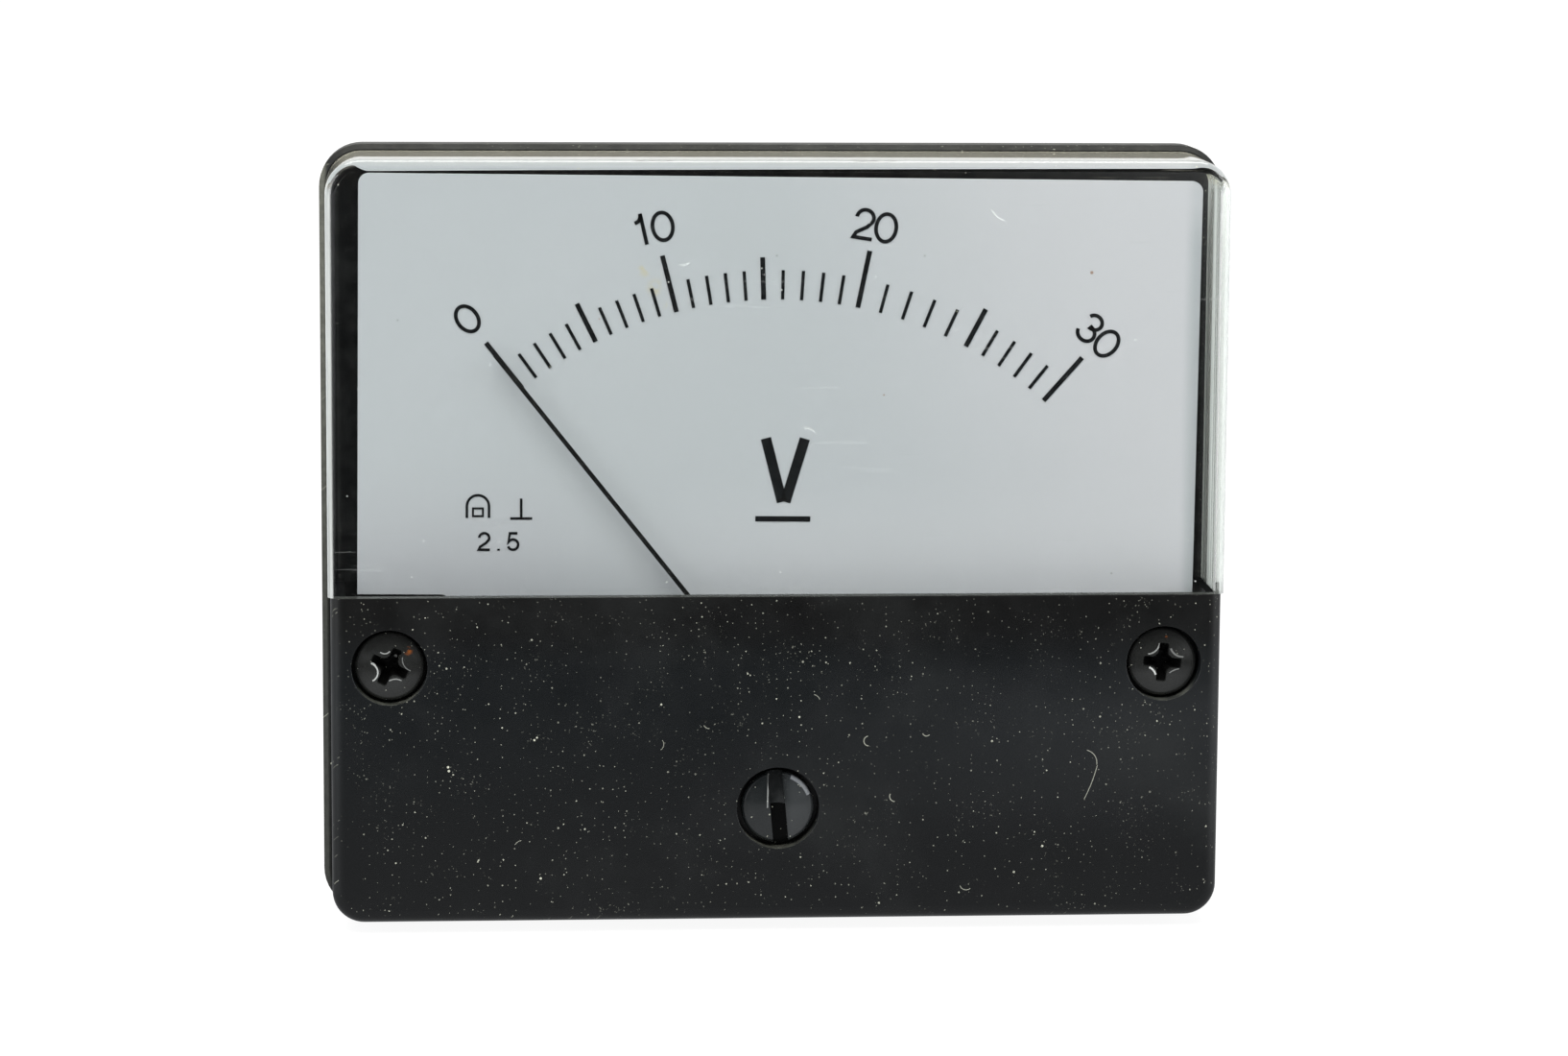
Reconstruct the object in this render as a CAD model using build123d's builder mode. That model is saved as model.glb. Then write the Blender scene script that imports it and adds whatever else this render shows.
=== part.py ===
from build123d import *
import os

os.makedirs("parts", exist_ok=True)

# Lengths are millimetres and angles are degrees.
# The panel plane is y = 0, the front faces -Y, and +Z is up.
# A depth is a distance in front of the panel plane, so a negative depth lies behind it.

# Flange and rear drum of the base
face_w = 70.0
face_h = 60.0
corner_r = 3.3
flange_t = 3.0
flange_edge = 0.4
drum_r = 26.0
drum_wall = 2.0
drum_floor = 2.4
drum_edge = 0.8
overrun = 1.0

# Front covers
front_d = 12.0
clear_inset = 0.5
black_inset = 0.7
cover_wall = 1.1
pane_t = 1.6
cover_edge_r = 1.0
cavity_corner = 1.2
cover_draft = 1.0
seam_z = -3.9
tongue_h = 1.5
tongue_share = 0.45
tongue_side_gap = 1.2
fit_gap = 0.1
slide_gap = 0.05

# Screws that hold the front covers, with hidden shanks drawn as prisms
shank_sides = 8
cover_screw_side = 5.3
cover_screw_z = -9.25
cover_head_r = 2.65
cover_head_h = 1.8
cover_head_rim = 0.4
cover_head_sink = 0.5
cover_bore_r = 2.9
cover_shank_r = 1.45
cover_shank_l = 6.1
cover_pass_r = 1.6
cover_boss_w = 7.2
base_boss_w = 6.4
base_boss_h = 4.0
cross_w = 0.8
cross_l = 3.3
cross_depth = 1.5
cross_taper = 7.0
left_cross_turn = -26.0
right_cross_turn = -5.0

# Dial plate and printed scale
dial_lift = 3.0
dial_t = 0.5
dial_side_gap = 2.6
dial_top_gap = 2.25
dial_bottom_z = -10.5
dial_shift_x = 0.25
dial_corner_r = 0.8
dial_turn = 0.5
dial_boss_gap = 1.3
dial_notch_z = -4.6
dial_opening_r = 7.6
ink_t = 0.04
mark_inner_r = 31.3
minor_mark_l = 2.25
fifth_mark_l = 3.25
tenth_mark_l = 4.45
minor_mark_w = 0.25
major_mark_w = 0.37
scale_turns = (-38.5, -26.3, -14.2, -1.8, 11.55, 27.9, 41.5)
volts_per_turn = 5
volts_per_number = 10

# Posts and screws that carry the dial
dial_post_side = 3.2
ledge_overlap = 1.0
dial_post_z = -7.2
dial_post_w = 4.0
dial_rest_x = 24.0
dial_rest_z = 22.0
dial_rest_w = 3.0
dial_head_w = 3.4
dial_head_h = 1.0
dial_shank_r = 0.95
dial_shank_l = 5.0

# Moving axis and magnet system
ring_wall_gap = 0.3
rest_turn = -38.5
ring_y = 3.2
ring_l = 9.6
ring_r = 10.8
ring_bore_r = 7.2
core_r = 5.3
spacer_turn = 23.0
post_ring_r = 9.0
pillar_w = 4.0

# Moving coil
coil_half = 5.75
coil_end_gap = 0.6
former_t = 0.25
former_w = 2.6
former_edge = 0.3
coil_corner = 0.5
winding_t = 0.72

# Pivot staffs and bearing screws
staff_foot_l = 3.4
staff_foot_w = 1.8
staff_foot_t = 0.4
staff_r = 0.35
staff_cone_l = 0.55
staff_l = 4.5
collet_r = 0.8
collet_l = 0.6
collet_to_tip = 1.4
jewel_r = 1.25
jewel_mouth_r = 0.7
jewel_cup_l = 0.95
jewel_head_w = 3.8
jewel_head_t = 0.75

# Bridges over the two ends of the coil
bridge_leg_l = 6.7
bridge_leg_t = 2.6
bridge_t = 0.8
bridge_w = 20.8
bridge_h = 4.2
stop_x = 4.35
stop_w = 1.25
stop_h = 2.6

# Hairsprings and the arms that hold their outer ends
arm_t = 0.4
arm_ring_r = 2.6
arm_w = 1.6
tab_r = 3.41
tab_t = 0.4
tab_w = 1.0
tab_end_gap = 0.1
spring_w = 0.4
spring_t = 0.12
spring_half_turns = 4
anchor_tail_l = 5.3

# Pointer and its balance weights
blade_w = 0.34
blade_t = 0.3
blade_lift = 0.9
crank_r = 5.5
crank_bend_r = 0.8
blade_l = 34.7
hub_r = 1.1
hub_l = 0.6
hub_d = 0.6
balance_arm_w = 0.5
balance_arm_t = 0.3
tail_l = 6.8
side_arm_l = 5.2
weight_r = 0.7
side_weight_l = 1.2
tail_weight_l = 2.7
weight_end_gap = 0.4

# Zero adjuster
zero_drop = 7.45
zero_head_r = 2.8
zero_head_h = 1.6
zero_head_rim = 0.45
zero_bore_r = 3.18
zero_bore_depth = 1.8
zero_boss_w = 9.0
zero_boss_h = 1.6
zero_shank_r = 1.55
zero_retainer_r = 2.6
zero_retainer_t = 0.4
zero_slot_w = 1.2
zero_slot_depth = 0.9
zero_slot_turn = 5.5
eccentric = 0.5
pin_r = 0.5
pin_reach = 0.35
fork_w = 3.2
fork_half_gap = 0.64
fork_root_r = 5.6
fork_tip_r = 8.7

# Studs that hold the meter in a panel
panel_stud_inset = 7.0
panel_stud_r = 1.5
panel_stud_l = 15.0
panel_collar_r = 2.4
panel_collar_t = 1.8

# Terminals through the drum floor
terminal_x = 10.0
terminal_z = 8.0
terminal_r = 2.0
terminal_l = 14.0
terminal_neck_w = 3.4
terminal_head_w = 7.0
terminal_head_h = 1.6
terminal_nut_t = 3.2

# Series resistor and inner wiring
resistor_z = 16.0
resistor_r = 1.5
resistor_l = 7.0
lead_r = 0.3
lead_left_x = 6.0
lead_bend_r = 1.0
wire_r = 0.45
wiring_room = 4.9

# Places that follow from the drum and the face
pivot_z = ring_wall_gap + ring_r + drum_wall - drum_r
zero_z = pivot_z - zero_drop
cover_screw_x = face_w / 2 - cover_screw_side
dial_w = face_w - 2 * dial_side_gap
dial_top_z = face_h / 2 - dial_top_gap
dial_notch_x = cover_screw_x - base_boss_w / 2 - dial_boss_gap
dial_post_x = dial_notch_x - dial_post_side
ledge_inner_x = dial_post_x - dial_post_w / 2
panel_stud_x = face_w / 2 - panel_stud_inset
panel_stud_z = face_h / 2 - panel_stud_inset

# Depths that follow from the sizes above
dial_back_d = flange_t + dial_lift
dial_front_d = dial_back_d + dial_t
blade_d = dial_front_d + blade_lift
pane_back_d = front_d - pane_t
base_boss_d = flange_t + base_boss_h
cover_seat_d = front_d - cover_head_sink - cover_head_h
mid_y = ring_y + ring_l / 2
bridge_d = bridge_leg_l - ring_y
bridge_front_d = bridge_d + bridge_t
arm_d = bridge_front_d + slide_gap
front_head_d = arm_d + arm_t + 2 * slide_gap
rear_head_d = bridge_front_d + arm_t
coil_end_y = ring_y - coil_end_gap - former_t - winding_t
staff_root_d = -coil_end_y
staff_tip_d = staff_root_d + staff_l
collet_d = staff_tip_d - collet_to_tip
jewel_back_d = collet_d + collet_l + fit_gap
spring_d = collet_d + fit_gap
tab_back_d = spring_d - tab_end_gap
zero_floor_d = front_d - zero_bore_depth
zero_seat_d = zero_floor_d + slide_gap
zero_boss_d = pane_back_d - zero_boss_h
drum_floor_y = ring_y + ring_l + bridge_leg_l + bridge_t + arm_t + wiring_room
drum_l = drum_floor_y + drum_floor

pivot_plane = Plane(origin=(0, 0, pivot_z), x_dir=(1, 0, 0), z_dir=(0, -1, 0))
swing_plane = pivot_plane.rotated((0, rest_turn, 0))
blade_plane = Plane(origin=(0, 0, pivot_z), x_dir=swing_plane.y_dir, z_dir=swing_plane.x_dir)
coil_plane = Plane(origin=(0, 0, pivot_z), x_dir=swing_plane.x_dir, z_dir=-swing_plane.y_dir)
mid_plane = Plane.XZ.offset(-mid_y)
cover_screw_spots = ((-cover_screw_x, cover_screw_z), (cover_screw_x, cover_screw_z))
dial_post_spots = ((-dial_post_x, dial_post_z), (dial_post_x, dial_post_z))


def depth_plane(depth):
    return Plane.XZ.offset(depth)


def mark_turn(volts):
    step = min(volts // volts_per_turn, len(scale_turns) - 2)
    share = volts / volts_per_turn - step
    return scale_turns[step] + (scale_turns[step + 1] - scale_turns[step]) * share


def screw_head(spot, head_r, seat_d, head_h, rim):
    with BuildPart() as head:
        with BuildSketch(depth_plane(seat_d)):
            with Locations(spot):
                Circle(head_r)
        extrude(amount=head_h)
        chamfer(head.faces().sort_by(Axis.Y)[0].edges(), rim, 2 * rim)
    return head.part


# Base moulding
with BuildPart() as base_housing:
    with BuildSketch(Plane.XZ):
        RectangleRounded(face_w, face_h, corner_r)
    extrude(amount=flange_t)
    chamfer(base_housing.faces().sort_by(Axis.Y)[0].edges(), flange_edge)
    with BuildSketch(Plane.XZ):
        Circle(drum_r)
    extrude(amount=-drum_l)
    chamfer(base_housing.faces().sort_by(Axis.Y)[-1].edges(), drum_edge)
    with BuildSketch(depth_plane(flange_t)):
        Circle(drum_r - drum_wall)
    extrude(amount=-flange_t - drum_floor_y, mode=Mode.SUBTRACT)
    # Pillars for the magnet ring
    with BuildSketch(depth_plane(-drum_floor_y - drum_floor / 2)):
        with Locations((0, pivot_z + post_ring_r), (0, pivot_z - post_ring_r)):
            Rectangle(pillar_w, pillar_w)
    extrude(amount=drum_floor_y + drum_floor / 2 - ring_y - ring_l)
    # Ledges that reach from the flange over the mouth of the drum and carry the dial
    with BuildSketch(Plane.XZ):
        with GridLocations(drum_r + ledge_overlap + ledge_inner_x, 0, 2, 1):
            with Locations((0, dial_post_z)):
                Rectangle(drum_r + ledge_overlap - ledge_inner_x, dial_post_w)
    extrude(amount=dial_back_d)
    with BuildSketch(depth_plane(dial_back_d)):
        with Locations(*dial_post_spots):
            RegularPolygon(dial_shank_r + slide_gap, shank_sides)
    extrude(amount=dial_t - dial_shank_l - overrun, mode=Mode.SUBTRACT)
    with BuildSketch(depth_plane(flange_t / 2)):
        with Locations((-dial_rest_x, dial_rest_z), (dial_rest_x, dial_rest_z)):
            Rectangle(dial_rest_w, dial_rest_w)
    extrude(amount=dial_back_d - flange_t / 2)
    # Bosses for the cover screws
    with BuildSketch(depth_plane(flange_t / 2)):
        with Locations(*cover_screw_spots):
            Rectangle(base_boss_w, base_boss_w)
    extrude(amount=base_boss_d - flange_t / 2)
    with BuildSketch(depth_plane(base_boss_d)):
        with Locations(*cover_screw_spots):
            RegularPolygon(cover_shank_r + slide_gap, shank_sides)
    extrude(amount=cover_seat_d - base_boss_d - cover_shank_l - fit_gap, mode=Mode.SUBTRACT)
    # Sockets for the panel studs
    with BuildSketch(Plane.XZ):
        with GridLocations(2 * panel_stud_x, 2 * panel_stud_z, 2, 2):
            RegularPolygon(panel_collar_r + slide_gap, 6)
    extrude(amount=panel_collar_t, mode=Mode.SUBTRACT)
    # Holes for the terminals
    with BuildSketch(depth_plane(-drum_floor_y)):
        with GridLocations(2 * terminal_x, 0, 2, 1):
            with Locations((0, terminal_z)):
                Rectangle(terminal_neck_w + 2 * slide_gap, terminal_neck_w + 2 * slide_gap)
    extrude(amount=-drum_floor - overrun, mode=Mode.SUBTRACT)
base_housing.part.label = "base_housing"
export_step(base_housing.part, "parts/base_housing.step")


# Front covers, made as one tapered box and parted at the seam
def cover_box(inset):
    inner = inset + cover_wall
    with BuildPart() as box:
        with BuildSketch(depth_plane(flange_t)):
            RectangleRounded(face_w - 2 * inset, face_h - 2 * inset, corner_r - inset)
        extrude(amount=front_d - flange_t, taper=cover_draft)
        fillet(box.faces().sort_by(Axis.Y)[0].edges(), cover_edge_r)
        with BuildSketch(depth_plane(flange_t)):
            Rectangle(face_w - 2 * inner, face_h - 2 * inner)
            chamfer(vertices(), cavity_corner)
        extrude(amount=pane_back_d - flange_t, taper=cover_draft, mode=Mode.SUBTRACT)
    return box.part


tongue_w = face_w - 2 * (black_inset + cover_wall + tongue_side_gap)
with BuildPart() as window_cover:
    add(cover_box(clear_inset))
    split(bisect_by=Plane.XY.offset(seam_z), keep=Keep.TOP)
    with BuildSketch(depth_plane(pane_back_d)):
        with Locations((0, seam_z)):
            Rectangle(tongue_w, 2 * tongue_h)
    extrude(amount=tongue_share * pane_t)
window_cover.part.label = "window_cover"
export_step(window_cover.part, "parts/window_cover.step")

with BuildPart() as front_cover:
    add(cover_box(black_inset))
    # Tubes that carry the cover screws
    with BuildSketch(depth_plane(base_boss_d)):
        with Locations(*cover_screw_spots):
            Rectangle(cover_boss_w, cover_boss_w)
    extrude(amount=front_d - pane_t / 2 - base_boss_d)
    with BuildSketch(depth_plane(cover_seat_d)):
        with Locations(*cover_screw_spots):
            Circle(cover_bore_r)
    extrude(amount=cover_head_sink + cover_head_h, mode=Mode.SUBTRACT)
    with BuildSketch(depth_plane(base_boss_d)):
        with Locations(*cover_screw_spots):
            Circle(cover_pass_r)
    extrude(amount=cover_seat_d - base_boss_d, mode=Mode.SUBTRACT)
    # Bearing of the zero screw
    with BuildSketch(depth_plane(zero_boss_d)):
        with Locations((0, zero_z)):
            Rectangle(zero_boss_w, zero_boss_w)
    extrude(amount=zero_boss_h + pane_t / 2)
    with BuildSketch(depth_plane(zero_floor_d)):
        with Locations((0, zero_z)):
            Circle(zero_bore_r)
    extrude(amount=zero_bore_depth, mode=Mode.SUBTRACT)
    with BuildSketch(depth_plane(zero_boss_d)):
        with Locations((0, zero_z)):
            Circle(zero_shank_r + slide_gap)
    extrude(amount=zero_floor_d - zero_boss_d, mode=Mode.SUBTRACT)
    # Groove for the tongue of the window
    with BuildSketch(depth_plane(pane_back_d)):
        with Locations((0, seam_z)):
            Rectangle(tongue_w + 2 * fit_gap, 2 * (tongue_h + fit_gap))
    extrude(amount=tongue_share * pane_t + fit_gap, mode=Mode.SUBTRACT)
    split(bisect_by=Plane.XY.offset(seam_z), keep=Keep.BOTTOM)
front_cover.part.label = "front_cover"
export_step(front_cover.part, "parts/front_cover.step")


# Cross-head screws of the covers
def cover_screw(spot, turn):
    with BuildPart() as screw:
        add(screw_head(spot, cover_head_r, cover_seat_d, cover_head_h, cover_head_rim))
        with BuildSketch(depth_plane(cover_seat_d)):
            with Locations(spot):
                RegularPolygon(cover_shank_r, shank_sides)
        extrude(amount=-cover_shank_l)
        with BuildSketch(depth_plane(cover_seat_d + cover_head_h)):
            with Locations(spot):
                Rectangle(cross_w, cross_l, rotation=turn)
                Rectangle(cross_l, cross_w, rotation=turn)
        extrude(amount=-cross_depth, taper=cross_taper, mode=Mode.SUBTRACT)
    return screw


cover_screw_left = cover_screw(cover_screw_spots[0], left_cross_turn)
cover_screw_left.part.label = "cover_screw_left"
export_step(cover_screw_left.part, "parts/cover_screw_left.step")

cover_screw_right = cover_screw(cover_screw_spots[1], right_cross_turn)
cover_screw_right.part.label = "cover_screw_right"
export_step(cover_screw_right.part, "parts/cover_screw_right.step")

# Zero screw with the eccentric pin on its inner end
zero_shank_l = zero_seat_d - zero_boss_d + slide_gap + zero_retainer_t
pin_back_d = arm_d - pin_reach
with BuildPart() as zero_screw:
    add(screw_head((0, zero_z), zero_head_r, zero_seat_d, zero_head_h, zero_head_rim))
    with BuildSketch(depth_plane(zero_seat_d)):
        with Locations((0, zero_z)):
            Circle(zero_shank_r)
    extrude(amount=-zero_shank_l)
    with BuildSketch(depth_plane(zero_seat_d + zero_head_h)):
        with Locations((0, zero_z)):
            Rectangle(zero_slot_w, 3 * zero_head_r, rotation=zero_slot_turn)
    extrude(amount=-zero_slot_depth, mode=Mode.SUBTRACT)
    with BuildSketch(depth_plane(pin_back_d)):
        with Locations((0, zero_z + eccentric)):
            Circle(pin_r)
    extrude(amount=zero_seat_d - pin_back_d)
zero_screw.part.label = "zero_screw"
export_step(zero_screw.part, "parts/zero_screw.step")

with BuildPart() as zero_retainer:
    with BuildSketch(depth_plane(zero_boss_d - slide_gap)):
        with Locations((0, zero_z)):
            RegularPolygon(zero_retainer_r, 6)
            Circle(zero_shank_r, mode=Mode.SUBTRACT)
    extrude(amount=-zero_retainer_t)
zero_retainer.part.label = "zero_retainer"
export_step(zero_retainer.part, "parts/zero_retainer.step")

# Dial plate, set in the housing with a slight turn
dial_h = dial_top_z - dial_bottom_z
dial_mid_z = (dial_top_z + dial_bottom_z) / 2
dial_plane = Plane(origin=(dial_shift_x, -dial_back_d, 0), x_dir=(1, 0, 0), z_dir=(0, -1, 0))
with BuildPart() as dial_plate:
    with BuildSketch(dial_plane.rotated((0, dial_turn, 0))):
        with Locations((0, dial_mid_z)):
            RectangleRounded(dial_w, dial_h, dial_corner_r)
        for side in (-1, 1):
            with Locations((side * dial_notch_x, dial_notch_z)):
                with Locations((side * dial_w / 4, dial_bottom_z)):
                    RectangleRounded(dial_w / 2, -2 * dial_bottom_z, dial_corner_r, mode=Mode.SUBTRACT)
    extrude(amount=dial_t)
    with BuildSketch(pivot_plane.offset(dial_back_d)):
        Circle(dial_opening_r)
        with Locations((0, -dial_opening_r)):
            Rectangle(2 * dial_opening_r, 2 * dial_opening_r)
    extrude(amount=dial_t, mode=Mode.SUBTRACT)
    with BuildSketch(depth_plane(dial_back_d)):
        with Locations(*dial_post_spots):
            RegularPolygon(dial_shank_r + fit_gap, shank_sides)
    extrude(amount=dial_t, mode=Mode.SUBTRACT)
dial_plate.part.label = "dial_plate"
export_step(dial_plate.part, "parts/dial_plate.step")

with BuildPart() as scale_marks:
    with BuildSketch(pivot_plane.offset(dial_front_d)):
        for volts in range(volts_per_turn * (len(scale_turns) - 1) + 1):
            if volts % volts_per_number == 0:
                mark_l, mark_w = tenth_mark_l, major_mark_w
            elif volts % volts_per_turn == 0:
                mark_l, mark_w = fifth_mark_l, major_mark_w
            else:
                mark_l, mark_w = minor_mark_l, minor_mark_w
            with PolarLocations(mark_inner_r + mark_l / 2, 1, start_angle=90 - mark_turn(volts)):
                Rectangle(mark_l, mark_w)
    extrude(amount=ink_t)
scale_marks.part.label = "scale_marks"
export_step(scale_marks.part, "parts/scale_marks.step")

with BuildPart() as dial_screws:
    with BuildSketch(depth_plane(dial_front_d)):
        with Locations(*dial_post_spots):
            RegularPolygon(dial_head_w / 2, 6, major_radius=False)
    extrude(amount=dial_head_h)
    with BuildSketch(depth_plane(dial_front_d)):
        with Locations(*dial_post_spots):
            RegularPolygon(dial_shank_r, shank_sides)
    extrude(amount=-dial_shank_l)
dial_screws.part.label = "dial_screws"
export_step(dial_screws.part, "parts/dial_screws.step")

# Magnet system
with BuildPart() as return_ring:
    with BuildSketch(pivot_plane.offset(-ring_y)):
        Circle(ring_r)
        Circle(ring_bore_r, mode=Mode.SUBTRACT)
    extrude(amount=-ring_l)
return_ring.part.label = "return_ring"
export_step(return_ring.part, "parts/return_ring.step")

with BuildPart() as core_magnet:
    with BuildSketch(pivot_plane.offset(-ring_y)):
        Circle(core_r)
    extrude(amount=-ring_l)
core_magnet.part.label = "core_magnet"
export_step(core_magnet.part, "parts/core_magnet.step")

# Spacers above and below the core, out of the way of the coil
with BuildPart() as core_spacers:
    for middle in (90, 270):
        with BuildSketch(pivot_plane.offset(-ring_y)):
            with BuildLine():
                outer = CenterArc((0, 0), ring_bore_r - slide_gap, middle - spacer_turn, 2 * spacer_turn)
                inner = CenterArc((0, 0), core_r + slide_gap, middle - spacer_turn, 2 * spacer_turn)
                Line(outer @ 0, inner @ 0)
                Line(outer @ 1, inner @ 1)
            make_face()
        extrude(amount=-ring_l)
core_spacers.part.label = "core_spacers"
export_step(core_spacers.part, "parts/core_spacers.step")


# Bridges, each a strip bent into two legs that stand on the magnet ring
def bridge_blank():
    with BuildPart() as blank:
        with BuildSketch(pivot_plane.offset(bridge_d)):
            Rectangle(bridge_w, bridge_h)
            Circle(jewel_r + slide_gap, mode=Mode.SUBTRACT)
        extrude(amount=bridge_t)
        with BuildSketch(pivot_plane.offset(bridge_d)):
            with GridLocations(bridge_w - bridge_leg_t, 0, 2, 1):
                Rectangle(bridge_leg_t, bridge_h)
        extrude(amount=-bridge_leg_l)
    return blank.part


with BuildPart() as front_bridge:
    add(bridge_blank())
    # Ears that stop the pointer at both ends of its swing
    with BuildSketch(pivot_plane.offset(bridge_d)):
        with GridLocations(2 * stop_x + stop_w, 0, 2, 1):
            with Locations((0, bridge_h / 2)):
                Rectangle(stop_w, 2 * stop_h)
    extrude(amount=bridge_t)
front_bridge.part.label = "front_bridge"
export_step(front_bridge.part, "parts/front_bridge.step")

with BuildPart() as rear_bridge:
    add(bridge_blank())
    mirror(about=mid_plane, mode=Mode.REPLACE)
rear_bridge.part.label = "rear_bridge"
export_step(rear_bridge.part, "parts/rear_bridge.step")


# Bearing screws with a hexagon head and a hollow cone for the pivot
def bearing_screw(head_d):
    cup_d = jewel_back_d + jewel_cup_l
    with BuildPart() as bearing:
        with BuildSketch(pivot_plane.offset(jewel_back_d)):
            Circle(jewel_r)
        extrude(amount=head_d - jewel_back_d)
        with BuildSketch(pivot_plane.offset(head_d)):
            RegularPolygon(jewel_head_w / 2, 6, major_radius=False)
        extrude(amount=jewel_head_t)
        with BuildSketch(Plane(origin=(0, 0, pivot_z), x_dir=(1, 0, 0), z_dir=(0, 0, -1))):
            with BuildLine():
                Polyline((0, jewel_back_d), (jewel_mouth_r, jewel_back_d), (0, cup_d), close=True)
            make_face()
        revolve(axis=Axis((0, 0, pivot_z), (0, -1, 0)), mode=Mode.SUBTRACT)
    return bearing.part


with BuildPart() as front_jewel_screw:
    add(bearing_screw(front_head_d))
front_jewel_screw.part.label = "front_jewel_screw"
export_step(front_jewel_screw.part, "parts/front_jewel_screw.step")

with BuildPart() as rear_jewel_screw:
    add(bearing_screw(rear_head_d))
    mirror(about=mid_plane, mode=Mode.REPLACE)
rear_jewel_screw.part.label = "rear_jewel_screw"
export_step(rear_jewel_screw.part, "parts/rear_jewel_screw.step")

# Moving coil, a metal former wound with wire
former_half_l = ring_l / 2 + coil_end_gap


def coil_loop(inner, outer, width):
    with BuildPart() as loop:
        with BuildSketch(coil_plane):
            with Locations((0, -mid_y)):
                Rectangle(2 * (coil_half + outer), 2 * (former_half_l + outer))
                if inner:
                    chamfer(vertices(), coil_corner)
                Rectangle(2 * (coil_half + inner), 2 * (former_half_l + inner), mode=Mode.SUBTRACT)
        extrude(amount=width / 2, both=True)
    return loop.part


with BuildPart() as coil_former:
    add(coil_loop(0, former_t, former_w))
coil_former.part.label = "coil_former"
export_step(coil_former.part, "parts/coil_former.step")

with BuildPart() as coil_winding:
    add(coil_loop(former_t, former_t + winding_t, former_w - 2 * former_edge))
coil_winding.part.label = "coil_winding"
export_step(coil_winding.part, "parts/coil_winding.step")


# Pivot staffs with a foot on the coil, a hexagon collet and a conical tip
def pivot_staff():
    neck_d = staff_tip_d - staff_cone_l
    with BuildPart() as staff:
        with BuildSketch(swing_plane.offset(staff_root_d)):
            Rectangle(staff_foot_l, staff_foot_w)
        extrude(amount=staff_foot_t)
        with BuildSketch(pivot_plane.offset(collet_d)):
            RegularPolygon(collet_r, 6)
        extrude(amount=collet_l)
        with BuildSketch(Plane(origin=(0, 0, pivot_z), x_dir=(1, 0, 0), z_dir=(0, 0, -1))):
            with BuildLine():
                Polyline((0, staff_root_d), (staff_r, staff_root_d), (staff_r, neck_d), (0, staff_tip_d))
                Line((0, staff_tip_d), (0, staff_root_d))
            make_face()
        revolve(axis=Axis((0, 0, pivot_z), (0, -1, 0)))
    return staff.part


with BuildPart() as front_staff:
    add(pivot_staff())
front_staff.part.label = "front_staff"
export_step(front_staff.part, "parts/front_staff.step")

with BuildPart() as rear_staff:
    add(pivot_staff())
    mirror(about=mid_plane, mode=Mode.REPLACE)
rear_staff.part.label = "rear_staff"
export_step(rear_staff.part, "parts/rear_staff.step")


# Hairsprings, each a flat ribbon wound in half turns that shrink towards the collet
def hairspring():
    half_t = spring_t / 2
    outer_r = tab_r - half_t
    shrink = (outer_r - collet_r - half_t) / spring_half_turns
    with BuildPart() as spring:
        for turn in range(spring_half_turns):
            mid_r = outer_r - turn * shrink
            start = -90 + 180 * (turn % 2)
            centre = (0, shrink * (turn % 2))
            with BuildSketch(pivot_plane.offset(spring_d)):
                with BuildLine():
                    rim = CenterArc(centre, mid_r + half_t, start, 180)
                    hollow = CenterArc(centre, mid_r - half_t, start, 180)
                    Line(rim @ 0, hollow @ 0)
                    Line(rim @ 1, hollow @ 1)
                make_face()
            extrude(amount=spring_w)
    return spring.part


with BuildPart() as front_hairspring:
    add(hairspring())
front_hairspring.part.label = "front_hairspring"
export_step(front_hairspring.part, "parts/front_hairspring.step")

with BuildPart() as rear_hairspring:
    add(hairspring())
    mirror(about=mid_plane, mode=Mode.REPLACE)
rear_hairspring.part.label = "rear_hairspring"
export_step(rear_hairspring.part, "parts/rear_hairspring.step")


# Flat arm round the bearing screw with a tab bent to the outer end of a hairspring
def spring_arm(seat_d):
    with BuildPart() as arm:
        with BuildSketch(pivot_plane.offset(seat_d)):
            RegularPolygon(arm_ring_r, 8, major_radius=False, rotation=180 / 8)
            with Locations((0, -tab_r / 2 - tab_t / 2)):
                Rectangle(tab_w, tab_r + tab_t)
            Circle(jewel_r + slide_gap, mode=Mode.SUBTRACT)
        extrude(amount=arm_t)
        with BuildSketch(pivot_plane.offset(tab_back_d)):
            with Locations((0, -tab_r - tab_t / 2)):
                Rectangle(tab_w, tab_t)
        extrude(amount=seat_d + arm_t - tab_back_d)
    return arm.part


with BuildPart() as zero_arm:
    add(spring_arm(arm_d))
    with BuildSketch(pivot_plane.offset(arm_d)):
        with Locations((0, -(arm_ring_r + fork_root_r) / 2)):
            Rectangle(arm_w, fork_root_r - arm_ring_r + arm_w)
        with Locations((0, -(fork_root_r - arm_w + fork_tip_r) / 2)):
            Rectangle(fork_w, fork_tip_r - fork_root_r + arm_w)
        with Locations((0, -fork_tip_r)):
            Rectangle(2 * fork_half_gap, 2 * (fork_tip_r - fork_root_r), mode=Mode.SUBTRACT)
    extrude(amount=arm_t)
zero_arm.part.label = "zero_arm"
export_step(zero_arm.part, "parts/zero_arm.step")

with BuildPart() as spring_anchor:
    add(spring_arm(bridge_front_d))
    with BuildSketch(pivot_plane.offset(bridge_front_d)):
        with Locations((0, (arm_ring_r + anchor_tail_l) / 2 - slide_gap)):
            Rectangle(arm_w, anchor_tail_l - arm_ring_r + 2 * arm_t)
    extrude(amount=arm_t)
    mirror(about=mid_plane, mode=Mode.REPLACE)
spring_anchor.part.label = "spring_anchor"
export_step(spring_anchor.part, "parts/spring_anchor.step")

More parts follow.
